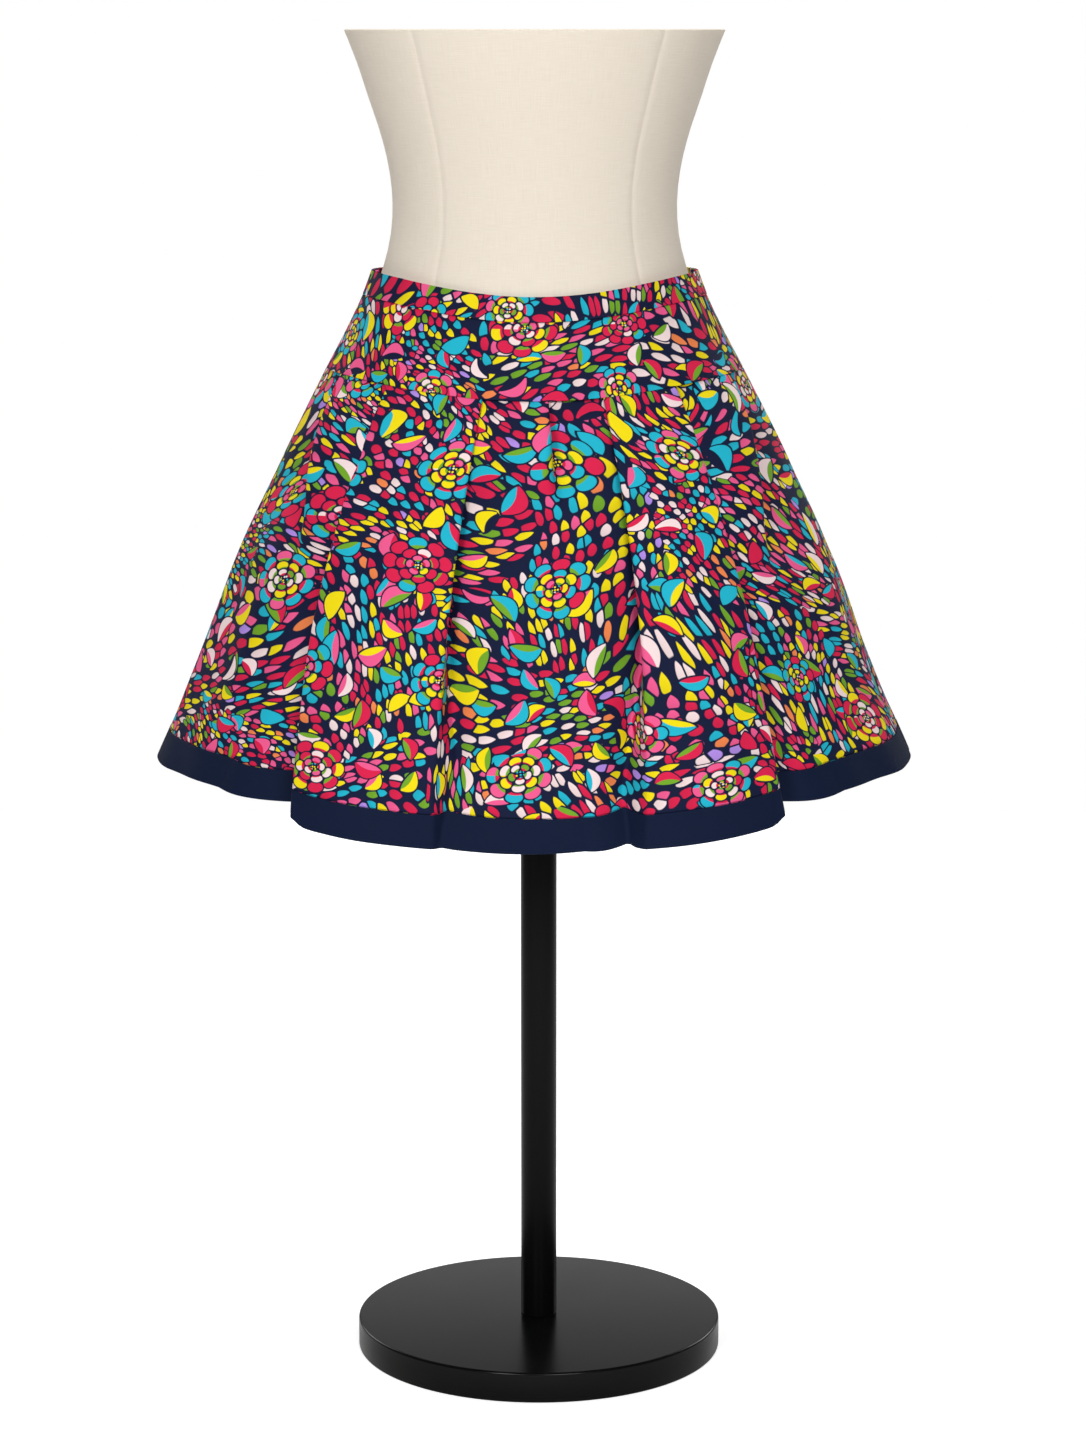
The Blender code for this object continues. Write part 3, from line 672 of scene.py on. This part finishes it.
def fold_path(fold, share, oval):
    """A fold's (along, out) points: two turns with the underlay between them."""
    opened = min(share / fold.open_at, 1.0)
    turn = math.radians(SHUT_TURN + (fold.hem_turn - SHUT_TURN) * opened**OPENING_EASE)
    radius = SHUT_RADIUS + (fold.hem_radius - SHUT_RADIUS) * opened
    depth = 2 * radius * (1 - math.cos(turn)) + fold.underlay * math.sin(turn)
    shift = SHUT_SHIFT * (1 - ease(share / SHIFT_ENDS))
    top = depth / 2 - shift + fold.middle_out * share
    underlay = fold.underlay
    if fold.name in VALLEYS:
        turn = max(turn, math.radians(VALLEY_TURN))
        if share > 0:
            deeper = depth + dip_of(VALLEYS[fold.name], share)
            straight = (deeper - 2 * radius * (1 - math.cos(turn))) / max(math.sin(turn), 0.05)
            underlay += (max(straight, 0.001) - underlay) * float(ease(share / 0.2))
    edge = oval.along(fold_degrees(fold, share))
    start = edge - radius * math.sin(min(turn, math.pi / 2))
    bend = turn * np.linspace(0, 1, ARC_STEPS + 1)
    first = pairs(start + radius * np.sin(bend), top - radius * (1 - np.cos(bend)))
    run = underlay * np.array([math.cos(turn), -math.sin(turn)])
    under = first[-1] + np.linspace(0, 1, UNDERLAY_STEPS + 1)[1:, None] * run
    back = bend[::-1]
    gone = pairs(math.sin(turn) - np.sin(back), math.cos(turn) - np.cos(back))
    points = np.concatenate([first, under, under[-1] + radius * gone[1:]])
    if fold.over > 0:
        points = points[::-1] * (-1, 1) + (2 * edge, 0)
    return points


def dip_of(valley, share):
    """How much deeper than in the solids the low side of a fold is."""
    late = float(ease((share - VALLEY_ENDS) / (1 - VALLEY_ENDS)))
    depth = valley.depth + (valley.hem_depth - valley.depth) * late
    return depth * float(ease(share / VALLEY_STARTS))


def panel_points(panel, start, end, share, low_valley, high_valley):
    """A panel between two folds, with the valleys at its ends."""
    part = np.arange(1, panel.columns + 1) / (panel.columns + 1)
    width = end[0] - start[0]
    dips = [dip_of(valley, share) for valley in (low_valley, high_valley)]
    low, high = start[1] + dips[0], end[1] + dips[1]
    out = low + (high - low) * ease(part) + 4 * part * (1 - part) * panel.crown * share
    for dip, valley, away in zip(dips, (low_valley, high_valley), (part, 1 - part)):
        out -= dip * np.clip(1 - away * width / valley.width, 0, 1) ** 2
    return pairs(start[0] + width * part, out)


def pleated_path(folds, panels, low, high):
    """The middle of the wall from one seam to the next."""
    rising = [VALLEYS.get(fold.name, NO_VALLEY) if fold.over < 0 else NO_VALLEY for fold in folds]
    falling = [VALLEYS.get(fold.name, NO_VALLEY) if fold.over > 0 else NO_VALLEY for fold in folds]
    valleys = list(zip([NO_VALLEY, *rising], [*falling, NO_VALLEY]))

    def path_at(down, oval):
        share = share_down(down)
        runs = [np.array([[oval.along(low[0]) + SEAM_GAP / 2, low[1] * share]])]
        runs += [fold_path(fold, share, oval) for fold in folds]
        runs.append(np.array([[oval.along(high[0]) - SEAM_GAP / 2, high[1] * share]]))
        path = [runs[0]]
        for panel, before, after, ends in zip(panels, runs, runs[1:], valleys):
            path += [panel_points(panel, before[-1], after[0], share, *ends), after]
        return np.concatenate(path)

    return path_at


def turned_in(path, thickness, low_allowance, high_allowance):
    """A path whose ends turn in square to the cloth, as seam allowances do."""
    bend = np.radians([0, 22.5, 45, 67.5, 90])
    radius = ALLOWANCE_RADIUS
    back = thickness / 2 + ALLOWANCE_ROOM - SEAM_GAP / 2
    parts = [path[1:-1]]
    for end, way, allowance in ((path[0], -1, low_allowance), (path[-1], 1, high_allowance)):
        if allowance:
            along = end[0] - way * back + way * radius * (np.sin(bend) - 1)
            out = end[1] - radius * (1 - np.cos(bend))
            run = pairs(along, out)
            inner = run[-1] - (0, allowance)
            run = np.concatenate([run, [(run[-1] + inner) / 2, inner]])
        else:
            run = end[None]
        parts = [run[::-1], *parts] if way < 0 else [*parts, run]
    return np.concatenate(parts)


def shifted(path, by):
    """A path moved sideways, its ends kept square to the oval."""
    runs = np.diff(path, axis=0)
    runs /= np.linalg.norm(runs, axis=1)[:, None]
    sides = pairs(-runs[:, 1], runs[:, 0])
    mitres = sides[:-1] + sides[1:]
    mitres /= np.maximum(1 + (sides[:-1] * sides[1:]).sum(axis=1), 0.5)[:, None]
    square = np.array([[0.0, 1.0]])
    return path + by * np.concatenate([square, mitres, square])


def plain_path(low_deg, high_deg):
    columns = round(FITTED_COLUMNS * (high_deg - low_deg) / BACK_DEG)

    def path_at(down, oval):
        start = oval.along(low_deg) + SEAM_GAP / 2
        end = oval.along(high_deg) - SEAM_GAP / 2
        along = np.linspace(start, end, columns + 1)
        return pairs(along, np.zeros_like(along))

    return path_at


# ---- creases
def near(value, width):
    return np.exp(-((value / width) ** 2))


def hanging_creases(degrees, down):
    share = share_down(down)
    raised = np.zeros_like(degrees)
    for crease in CREASES:
        middle = crease.seam_deg + (crease.hem_deg - crease.seam_deg) * share
        away = (degrees - middle + 180) % 360 - 180
        grown = ease((share - crease.starts) / 0.30) * (1 - ease((share - crease.ends + 0.3) / 0.3))
        raised += crease.height * near(away, crease.width_deg) * grown
    return raised * (1 - HEM_CALM * ease((share - 0.72) / 0.24))


def swells(degrees, down, height):
    raised = sum(
        np.sin(math.tau * (degrees * round_it + down * down_it) + phase)
        for round_it, down_it, phase in SWELLS
    )
    return height * raised / len(SWELLS)


def puckers(degrees, down, seam, reach, height):
    raised = sum(
        share * np.sin(math.tau * degrees * wave + phase) for wave, phase, share in PUCKER_WAVES
    )
    return height * raised * math.exp(-abs(down - seam) / reach)


def drag_lines(degrees, down):
    raised = np.zeros_like(degrees)
    for drag in DRAGS:
        away = (degrees - drag.middle_deg + 180) % 360 - 180
        off = (down - drag.down - drag.slope * away) / drag.thick
        raised += drag.height * near(away, drag.length_deg) * math.e ** -(off**2)
    return raised


def skirt_relief(degrees, down):
    """How far the pleated cloth stands out of its plain folds."""
    loose = float(ease(share_down(down) / 0.25))
    raised = hanging_creases(degrees, down) + swells(degrees, down, 0.0012 * loose)
    raised += puckers(degrees, down, YOKE_SEAM, 0.020, 0.00035)
    return raised + puckers(degrees, down, HEM_BAND_SEAM, 0.007, 0.00022)


def fitted_relief(degrees, down):
    """How far the waistband and yoke stand out of the plain oval."""
    raised = drag_lines(degrees, down) + swells(degrees, down, 0.0004)
    raised += puckers(degrees, down, YOKE_SEAM, 0.006, 0.00020)
    return raised + puckers(degrees, down, WAISTBAND_SEAM, 0.006, 0.00016)


def hung_lift(path, down, oval):
    """How much higher set back cloth hangs, and the hem at an outer fold."""
    share = share_down(down)
    lift = -SET_BACK_LIFT * np.minimum(path[:, 1], 0.0) * share
    rolled = CORNER_LIFT * ease((share - CORNER_STARTS) / (1 - CORNER_STARTS))
    degrees = oval.degrees_at(path[:, 0])
    for fold in (*FRONT_FOLDS, *BACK_LEFT_FOLDS, *BACK_RIGHT_FOLDS):
        if fold.name.startswith("outer"):
            lift += rolled * near(degrees - fold_degrees(fold, share), CORNER_DEG)
    return lift


# ---- cloth pieces
def rows_between(top, bottom, tucked_top, tucked_bottom):
    """Distances down from seam to seam, and on behind the neighbours."""
    inner_top = top + TUCK_TURN if tucked_top else top + (SEAM_GAP / 2 if top > 0 else 0.0)
    inner_bottom = bottom - TUCK_TURN if tucked_bottom else bottom
    if not tucked_bottom and bottom < HEM:
        inner_bottom -= SEAM_GAP / 2
    count = max(6, round((inner_bottom - inner_top) / ROW_STEP))
    rows = [np.linspace(inner_top, inner_bottom, count + 1)]
    turn = [step * TUCK_TURN for step in TUCK_ROWS[1:]] + [TUCK]
    if tucked_top:
        rows.insert(0, top - np.array(turn[::-1]))
    if tucked_bottom:
        rows.append(bottom + np.array(turn))
    return np.concatenate(rows)


def dressed(piece, material, slot, *stands_for, body=BODY):
    """Gives a finished piece its material and its body, and hides the node it stands for."""
    piece.data.materials.clear()
    piece.data.materials.append(material)
    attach(piece, body)
    if stands_for:
        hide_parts(*stands_for)


def cut_places(rows, paths, apart):
    """Where each point lies in the flat cut, a flared sector, and the cut's size."""
    runs = [np.concatenate([[0], np.cumsum(np.hypot(*np.diff(path, axis=0).T))]) for path in paths]
    top, bottom, length = runs[0][-1], runs[-1][-1], rows[-1] - rows[0]
    flare = max((bottom - top) / length, 1e-3)
    places = []
    for down, run in zip(rows, runs):
        angle = (run / run[-1] - 0.5) * flare
        radius = top / flare + down - rows[0]
        places.append(pairs(radius * np.sin(angle), -radius * np.cos(angle)))
    places = np.array(places)
    places[..., 1] += top / flare
    return places + np.array(apart), (top, bottom, length)


def behind(down, seam, way):
    """From 0 to 1, how far in the cloth lies past a seam; way is -1 upwards."""
    return float(ease(1 + (down - seam) * way / TUCK_TURN))


def cloth_piece(kind, place_name, path_at, allowances, apart):
    """A sheet of cloth as a thin closed shell with rounded edges, and its flat cut."""
    points, paths = [], []
    rows = rows_between(kind.top, kind.bottom, kind.tuck_top > 0, kind.tuck_bottom > 0)
    for down in rows:
        oval = Oval(down)
        path = turned_in(path_at(down, oval), kind.thickness, *allowances)
        paths.append(path)
        if kind.tuck_bottom:
            path = shifted(path, -kind.tuck_bottom * behind(down, kind.bottom, 1))
        drop = kind.tuck_top * behind(down, kind.top, -1) if kind.tuck_top else 0.0
        out = path[:, 1] + kind.relief(oval.degrees_at(path[:, 0]), down) - drop
        points.append(oval.points(path[:, 0], out, kind.lift(paths[-1], down, oval)))
    places, cut = cut_places(rows, paths, apart)
    name = f"{kind.name}_{place_name}_cloth"
    return thin_shell(name, np.array(points), places, kind.thickness, kind.edge), cut


def thin_shell(name, points, cut, thickness, edge=0.0):
    """A wall with smooth faces over a grid of points, with the flat cut as its UV map."""
    rows, columns = points.shape[:2]
    index = np.arange(rows * columns).reshape(rows, columns)
    corners = [index[:-1, :-1], index[1:, :-1], index[1:, 1:], index[:-1, 1:]]
    faces = np.stack(corners, axis=-1).reshape(-1, 4)
    mesh = bpy.data.meshes.new(name)
    mesh.from_pydata(points.reshape(-1, 3).tolist(), [], faces.tolist())
    layer = mesh.uv_layers.new(name="cut")
    layer.data.foreach_set("uv", cut.reshape(-1, 2)[faces.ravel()].ravel())
    piece = bpy.data.objects.new(name, mesh)
    bpy.context.collection.objects.link(piece)
    shell = piece.modifiers.new("shell", "SOLIDIFY")
    shell.thickness, shell.offset = thickness, 0.0
    if edge:
        round_edges(piece, edge, CLOTH_EDGE_DEG)
    apply_all(piece)
    mesh.shade_smooth()
    return piece


def round_edges(piece, width, sharpest_deg):
    rounded = piece.modifiers.new("rounded edge", "BEVEL")
    rounded.width, rounded.segments = width, 3
    rounded.limit_method, rounded.angle_limit = "ANGLE", math.radians(sharpest_deg)


def apply_all(piece):
    only(piece)
    for modifier in list(piece.modifiers):
        bpy.ops.object.modifier_apply(modifier=modifier.name)


def only(piece):
    bpy.ops.object.select_all(action="DESELECT")
    piece.select_set(True)
    bpy.context.view_layer.objects.active = piece


def no_lift(path, down, oval):
    return np.zeros(len(path))


Kind = namedtuple(
    "Kind", "name top bottom thickness edge tuck_top tuck_bottom slot relief lift held"
)
FITTED = (fitted_relief, no_lift, "stretched")
HUNG = (skirt_relief, hung_lift, "hung")
PRINTED, PLAIN = "print_cloth", "hem_cloth"
KINDS = table(Kind, [
    ("waistband", 0.0, WAISTBAND_SEAM, WAISTBAND_CLOTH, 0.0007, 0.0, 0.0, PRINTED, *FITTED),
    ("yoke", WAISTBAND_SEAM, YOKE_SEAM, PRINT_CLOTH, 0.0004, 0.0016, 0.0, PRINTED, *FITTED),
    ("skirt", YOKE_SEAM, HEM_BAND_SEAM, PRINT_CLOTH, 0.0004, 0.0014, 0.0014, PRINTED, *HUNG),
    ("hem_band", HEM_BAND_SEAM, HEM, BAND_CLOTH, 0.0005, 0.0, 0.0, PLAIN, *HUNG),
])
# The seams at the ends of a piece: the angle, and how far out of the oval each one is at the hem.
RIGHT_SIDE, LEFT_SIDE = (-90, 0.0), (90, 0.0)
BACK_OUT = -0.004
Place = namedtuple("Place", "name folds panels low high")
PLACES = table(Place, [
    ("front", FRONT_FOLDS, FRONT_PANELS, RIGHT_SIDE, LEFT_SIDE),
    ("back_left", BACK_LEFT_FOLDS, BACK_LEFT_PANELS, LEFT_SIDE, (BACK_DEG, BACK_OUT)),
    ("back_right", BACK_RIGHT_FOLDS, BACK_RIGHT_PANELS, (-BACK_DEG, BACK_OUT), RIGHT_SIDE),
])


def allowances_of(place, hung):
    """How deep the allowances at a piece's ends are. A fitted one has no room at the zip."""
    back = ALLOWANCE_BACK if hung else 0.0
    return [back if abs(end[0]) == BACK_DEG else ALLOWANCE_SIDE for end in (place.low, place.high)]


def make_skirt():
    """Each piece of the skirt, and where its flat cut lies on the print."""
    finishes = {PRINTED: petal_print(), PLAIN: band_cotton()}
    for number, place in enumerate(PLACES):
        pleated = pleated_path(*place[1:])
        plain = plain_path(place.low[0], place.high[0])
        for step, kind in enumerate(KINDS):
            hung = kind.held == "hung"
            path_at, allowances = pleated if hung else plain, allowances_of(place, hung)
            apart = (CUT_STEPS[0] * number, CUT_STEPS[1] * step)
            piece, cut = cloth_piece(kind, place.name, path_at, allowances, apart)
            dressed(piece, finishes[kind.slot], kind.slot, f"{kind.name}_{place.name}")
            top, bottom, length = cut
            width, area = max(top, bottom), (top + bottom) / 2 * length


# ---- zip at the middle back
# From and to how far down the tape runs, half its width, and its room to the cloth.
ZIP_TOP = 0.003
ZIP_BOTTOM = 0.083
TAPE_HALF = 0.011
TAPE_CLOTH = 0.0003
TAPE_ROOM = 0.00015


def zip_tape():
    """Navy woven tape with the closed coil of the zip down its middle."""
    finish = Finish("navy zip tape", Roughness=0.7, Specular_IOR_Level=0.2)
    flat = finish.add("UVMap", {"uv_map": "cut"}, {})
    across, down, _ = finish.parts(flat)
    coil = crisp(0.0017 - abs(across), 0.0002)
    teeth = (down * (math.tau / 0.0012)).sine()
    ribs = (across * (math.tau / 0.0006)).sine()
    tone = finish.mixed(coil, (0.010, 0.016, 0.046), (0.022, 0.030, 0.075))
    finish.paint(tone, coil * (1.5 + teeth) + ribs * 0.2, TAPE_BUMP, 0.72 - 0.3 * coil)
    return finish.material


def make_zip():
    """Tape and coil behind the slit, and the slider and its pull."""
    rows = np.linspace(ZIP_TOP, ZIP_BOTTOM, 41)
    half = np.linspace(0, TAPE_HALF, 7)
    points = []
    for down in rows:
        oval = Oval(float(down))
        end = oval.along(BACK_DEG)
        along = np.concatenate([end - half[::-1], -end + half[1:]])
        behind_cloth = WAISTBAND_CLOTH / 2 + TAPE_ROOM + TAPE_CLOTH / 2
        points.append(oval.points(along, np.full_like(along, -behind_cloth), 0.0))
    across = np.concatenate([-half[::-1], half[1:]])
    cut = np.stack(np.meshgrid(across, -rows), axis=-1)
    tape = thin_shell("zip_tape", np.array(points), cut, TAPE_CLOTH)
    dressed(tape, zip_tape(), PLAIN)
    enamel = zip_enamel()
    rounded_copy("zip_slider", "zip_slider_body", BODY, enamel)
    rounded_copy("zip_pull", "zip_pull_tab", "zip_tab", enamel)


def rounded_copy(node, name, body, material):
    """A copy of a small metal solid with its edges rounded."""
    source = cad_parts[node]
    piece = bpy.data.objects.new(name, source.data.copy())
    piece.matrix_world = source.matrix_world
    bpy.context.collection.objects.link(piece)
    only(piece)
    bpy.ops.object.mode_set(mode="EDIT")
    bpy.ops.mesh.select_all(action="SELECT")
    bpy.ops.mesh.remove_doubles(threshold=0.00001)
    bpy.ops.mesh.dissolve_limited(angle_limit=math.radians(1))
    bpy.ops.object.mode_set(mode="OBJECT")
    round_edges(piece, METAL_ROUNDING, METAL_EDGE_DEG)
    apply_all(piece)
    bpy.ops.object.transform_apply(location=True, rotation=True, scale=True)
    bpy.ops.object.shade_smooth_by_angle(angle=math.radians(40))
    dressed(piece, material, "zip_metal", node, body=body)


# ---- form and stand
SAME_PLACE = 1e-6


def pick(test):
    """Selects the points of the mesh in edit mode that pass a test on their place."""
    bpy.ops.mesh.select_all(action="DESELECT")
    shape = bmesh.from_edit_mesh(bpy.context.object.data)
    for vertex in shape.verts:
        vertex.select_set(bool(test(vertex.co)))
    shape.select_flush(True)
    bmesh.update_edit_mesh(bpy.context.object.data)


def at_height(height):
    return lambda place: abs(place.z - height) < SAME_PLACE


def finished(name, node, material, slot, smooth_deg):
    """Leaves edit mode, and gives the piece its place, name, finish and body."""
    bpy.ops.mesh.select_all(action="SELECT")
    bpy.ops.mesh.normals_make_consistent(inside=False)
    bpy.ops.object.mode_set(mode="OBJECT")
    piece = bpy.context.object
    bpy.ops.object.transform_apply(location=True, rotation=True, scale=True)
    bpy.ops.object.shade_smooth_by_angle(angle=math.radians(smooth_deg))
    piece.name = piece.data.name = name
    dressed(piece, material, slot, node)


def shrunk(section, by, z):
    return FormSection(z, *(size - by for size in section[1:]))


def form_levels():
    """Sections from the rounded lower edge up to the crisp upper edge."""
    first, last = FORM_SECTIONS[0], FORM_SECTIONS[-1]
    levels = []
    for step in range(6):
        angle = math.pi / 2 * step / 5
        z = first.z + FORM_EDGE * (1 - math.cos(angle))
        section = curve_through(FORM_SECTIONS, "z", max(z, first.z + 1e-6))
        levels.append(shrunk(section, FORM_EDGE * (1 - math.sin(angle)), z))
    top = last.z - FORM_TOP_EDGE
    rows = round((top - levels[-1].z) / FORM_ROW)
    for z in np.linspace(levels[-1].z, top, rows + 1)[1:]:
        levels.append(curve_through(FORM_SECTIONS, "z", float(z)))
    for step in range(1, 4):
        angle = math.pi / 2 * step / 3
        z = top + FORM_TOP_EDGE * math.sin(angle)
        levels.append(shrunk(last, FORM_TOP_EDGE * (1 - math.cos(angle)), z))
    return levels


def make_form():
    """A ring drawn up through the form's sections, closed, then grooved at its seams."""
    levels = form_levels()
    first = levels[0]
    middle = (WORN_X, 0, 0)
    bpy.ops.object.select_all(action="DESELECT")
    bpy.ops.mesh.primitive_circle_add(
        vertices=FORM_SIDES, radius=1.0, fill_type="NGON", location=(WORN_X, 0, first.z)
    )
    bpy.ops.object.transform_apply(location=True)
    bpy.ops.object.mode_set(mode="EDIT")
    bpy.ops.mesh.select_mode(type="VERT")
    before = FormSection(first.z, 1.0, 1.0, 1.0)
    for section in levels:
        if section is not first:
            rise = section.z - before.z
            bpy.ops.mesh.extrude_region_move(TRANSFORM_OT_translate={"value": (0, 0, rise)})
        level = at_height(section.z)
        wider = section.half_width / before.half_width
        for behind_it, size in (
            (False, section.front / before.front),
            (True, section.back / before.back),
        ):
            pick(lambda place: level(place) and (place.y > SAME_PLACE) == behind_it)
            bpy.ops.transform.resize(value=(wider, size, 1), center_override=middle)
        pick(level)
        before = section
    for seam in FORM_SEAMS:
        side = (math.sin(math.radians(seam)), -math.cos(math.radians(seam)))
        groove_form(side)
    finished("form_torso_cover", "form_torso", cover_linen(), "linen", 40)


@functools.cache
def form_section(height):
    low, high = FORM_SECTIONS[0].z + 1e-4, FORM_SECTIONS[-1].z - 1e-4
    return curve_through(FORM_SECTIONS, "z", min(max(height, low), high))


def groove_form(side):
    """A shallow groove down one side of the form."""

    def on_seam(place):
        section = form_section(round(place.z, 5))
        depth = section.back if side[1] > 0 else section.front
        across = (place.x - WORN_X) / section.half_width * side[1] - place.y / depth * side[0]
        same_way = (place.x - WORN_X) * side[0] + place.y * side[1] > 0
        return same_way and abs(across) < 1e-3

    pick(on_seam)
    bpy.ops.mesh.bevel(offset=FORM_SEAM_HALF, segments=2, affect="EDGES")
    pick(on_seam)
    bpy.ops.transform.shrink_fatten(value=-FORM_SEAM_DEPTH)


def round_rim(height, width, segments):
    """Rounds the ring of edges that lies at one height."""
    pick(at_height(height))
    bpy.ops.mesh.bevel(offset=width, segments=segments, affect="EDGES")


def make_stand():
    """Foot, pole and the flange under the form."""
    satin = black_paint("satin black paint", 0.24, 0.09)
    gloss = black_paint("glossy black paint", 0.15, 0.15)
    cylinder(FOOT_RADIUS, 0.0, FOOT_HEIGHT, FOOT_SIDES)
    round_rim(0.0, FOOT_ROUNDING, 4)
    round_rim(FOOT_HEIGHT, FOOT_ROUNDING, 5)
    finished("stand_foot_plate", "stand_foot", gloss, "black_metal", 30)

    low = FOOT_HEIGHT + SEAM_GAP
    high = FORM_SECTIONS[0].z - FLANGE_HEIGHT - 2 * SEAM_GAP
    cylinder(POLE_RADIUS, low, high, POLE_SIDES)
    for end in (low, high):
        round_rim(end, POLE_ROUNDING, 2)
    finished("stand_pole_tube", "stand_pole", satin, "black_metal", 30)

    top = high + FLANGE_HEIGHT + SEAM_GAP
    under, bore = top - FLANGE_HEIGHT, POLE_RADIUS + SEAM_GAP
    cylinder(FLANGE_RADIUS, under, top, POLE_SIDES)
    inset_end(under, FLANGE_RADIUS - COLLAR_RADIUS, -COLLAR_HEIGHT)
    inset_end(under - COLLAR_HEIGHT, COLLAR_RADIUS - bore, COLLAR_HEIGHT)
    for height, radius in ((under, FLANGE_RADIUS), (under - COLLAR_HEIGHT, COLLAR_RADIUS)):
        pick(lambda place: at_height(height)(place) and place.xy.length > radius - 1e-4)
        bpy.ops.mesh.bevel(offset=FLANGE_ROUNDING, segments=3, affect="EDGES")
    finished("form_flange_plate", "form_flange", satin, "black_metal", 30)


def inset_end(height, width, rise):
    """Draws the flat end at one height inwards, then the face that is left up or down."""
    pick(at_height(height))
    bpy.ops.mesh.inset(thickness=width)
    bpy.ops.mesh.extrude_region_move(TRANSFORM_OT_translate={"value": (0, 0, rise)})


def cylinder(radius, low, high, sides):
    bpy.ops.object.select_all(action="DESELECT")
    bpy.ops.mesh.primitive_cylinder_add(
        vertices=sides, radius=radius, depth=high - low, location=(0, 0, (low + high) / 2)
    )
    bpy.ops.object.transform_apply(location=True)
    bpy.ops.object.mode_set(mode="EDIT")
    bpy.ops.mesh.select_mode(type="VERT")


# ---- room
ROOM_LIGHT = 0.09
FLOOR_GLOW = 0.60
FLOOR_SIDE = 4.4
CAMERA_PLACE, CAMERA_LENS, CAMERA_DOWN_DEG = (0.0035, -3.077, 1.0804), 95.71, 10.25
# Each square lamp's name, place, target, side and power.
LAMPS = [
    ("left softbox", (-1.3, -3.35, 2.05), (0, 0, 0.75), 0.9, 66),
    ("right softbox", (0.95, -3.4, 1.9), (0, 0, 0.75), 1.2, 60),
    ("top softbox", (0.0, 0.4, 3.4), (0, 0, 0.8), 2.2, 60),
    ("back softbox", (0.0, 3.9, 1.5), (0, 0, 0.6), 2.4, 7.5),
    ("back left softbox", (-2.3, 2.7, 1.9), (0, 0, 0.7), 1.6, 34),
    ("back right softbox", (2.3, 2.7, 1.9), (0, 0, 0.7), 1.6, 40),
]


def make_room():
    scene = bpy.context.scene
    scene.view_settings.view_transform = "Standard"
    bpy.ops.object.select_all(action="DESELECT")
    bpy.ops.mesh.primitive_plane_add(size=FLOOR_SIDE)
    floor = bpy.context.object
    floor.name = "studio_floor"
    white = Finish("studio white", Roughness=0.9, Specular_IOR_Level=0.1)
    white.feed(white.shader.inputs["Base Color"], (0.93, 0.93, 0.93, 1))
    white.feed(white.shader.inputs["Emission Strength"], FLOOR_GLOW)
    glow = white.mixed(white.add("LightPath", {}, {}, "Is Camera Ray"), (0, 0, 0), (1, 1, 1))
    white.feed(white.shader.inputs["Emission Color"], glow)
    floor.data.materials.append(white.material)

    scene.world = bpy.data.worlds.new("studio")
    scene.world.use_nodes = True
    tree = scene.world.node_tree
    lit, shown = tree.nodes["Background"], tree.nodes.new("ShaderNodeBackground")
    lit.inputs["Strength"].default_value = ROOM_LIGHT
    ray, either = tree.nodes.new("ShaderNodeLightPath"), tree.nodes.new("ShaderNodeMixShader")
    tree.links.new(ray.outputs["Is Camera Ray"], either.inputs[0])
    for number, light in enumerate((lit, shown), start=1):
        light.inputs["Color"].default_value = (1, 1, 1, 1)
        tree.links.new(light.outputs[0], either.inputs[number])
    tree.links.new(either.outputs[0], tree.nodes["World Output"].inputs["Surface"])

    for name, place, target, size, power in LAMPS:
        light = bpy.data.lights.new(name, "AREA")
        light.size, light.energy = size, power
        lamp = bpy.data.objects.new(name, light)
        scene.collection.objects.link(lamp)
        lamp.location = place
        lamp.visible_camera = False
        aim = np.array(target) - np.array(place)
        tilt = math.atan2(math.hypot(aim[0], aim[1]), -aim[2])
        lamp.rotation_euler = (tilt, 0, math.atan2(aim[1], aim[0]) - math.pi / 2)

    camera = bpy.data.objects.new("photo camera", bpy.data.cameras.new("photo camera"))
    scene.collection.objects.link(camera)
    camera.data.sensor_width = 36
    camera.data.lens = CAMERA_LENS
    camera.location = CAMERA_PLACE
    camera.rotation_euler = (math.radians(90 - CAMERA_DOWN_DEG), 0, 0)
    scene.camera = camera


make_room()
make_skirt()
make_form()
make_stand()
make_zip()
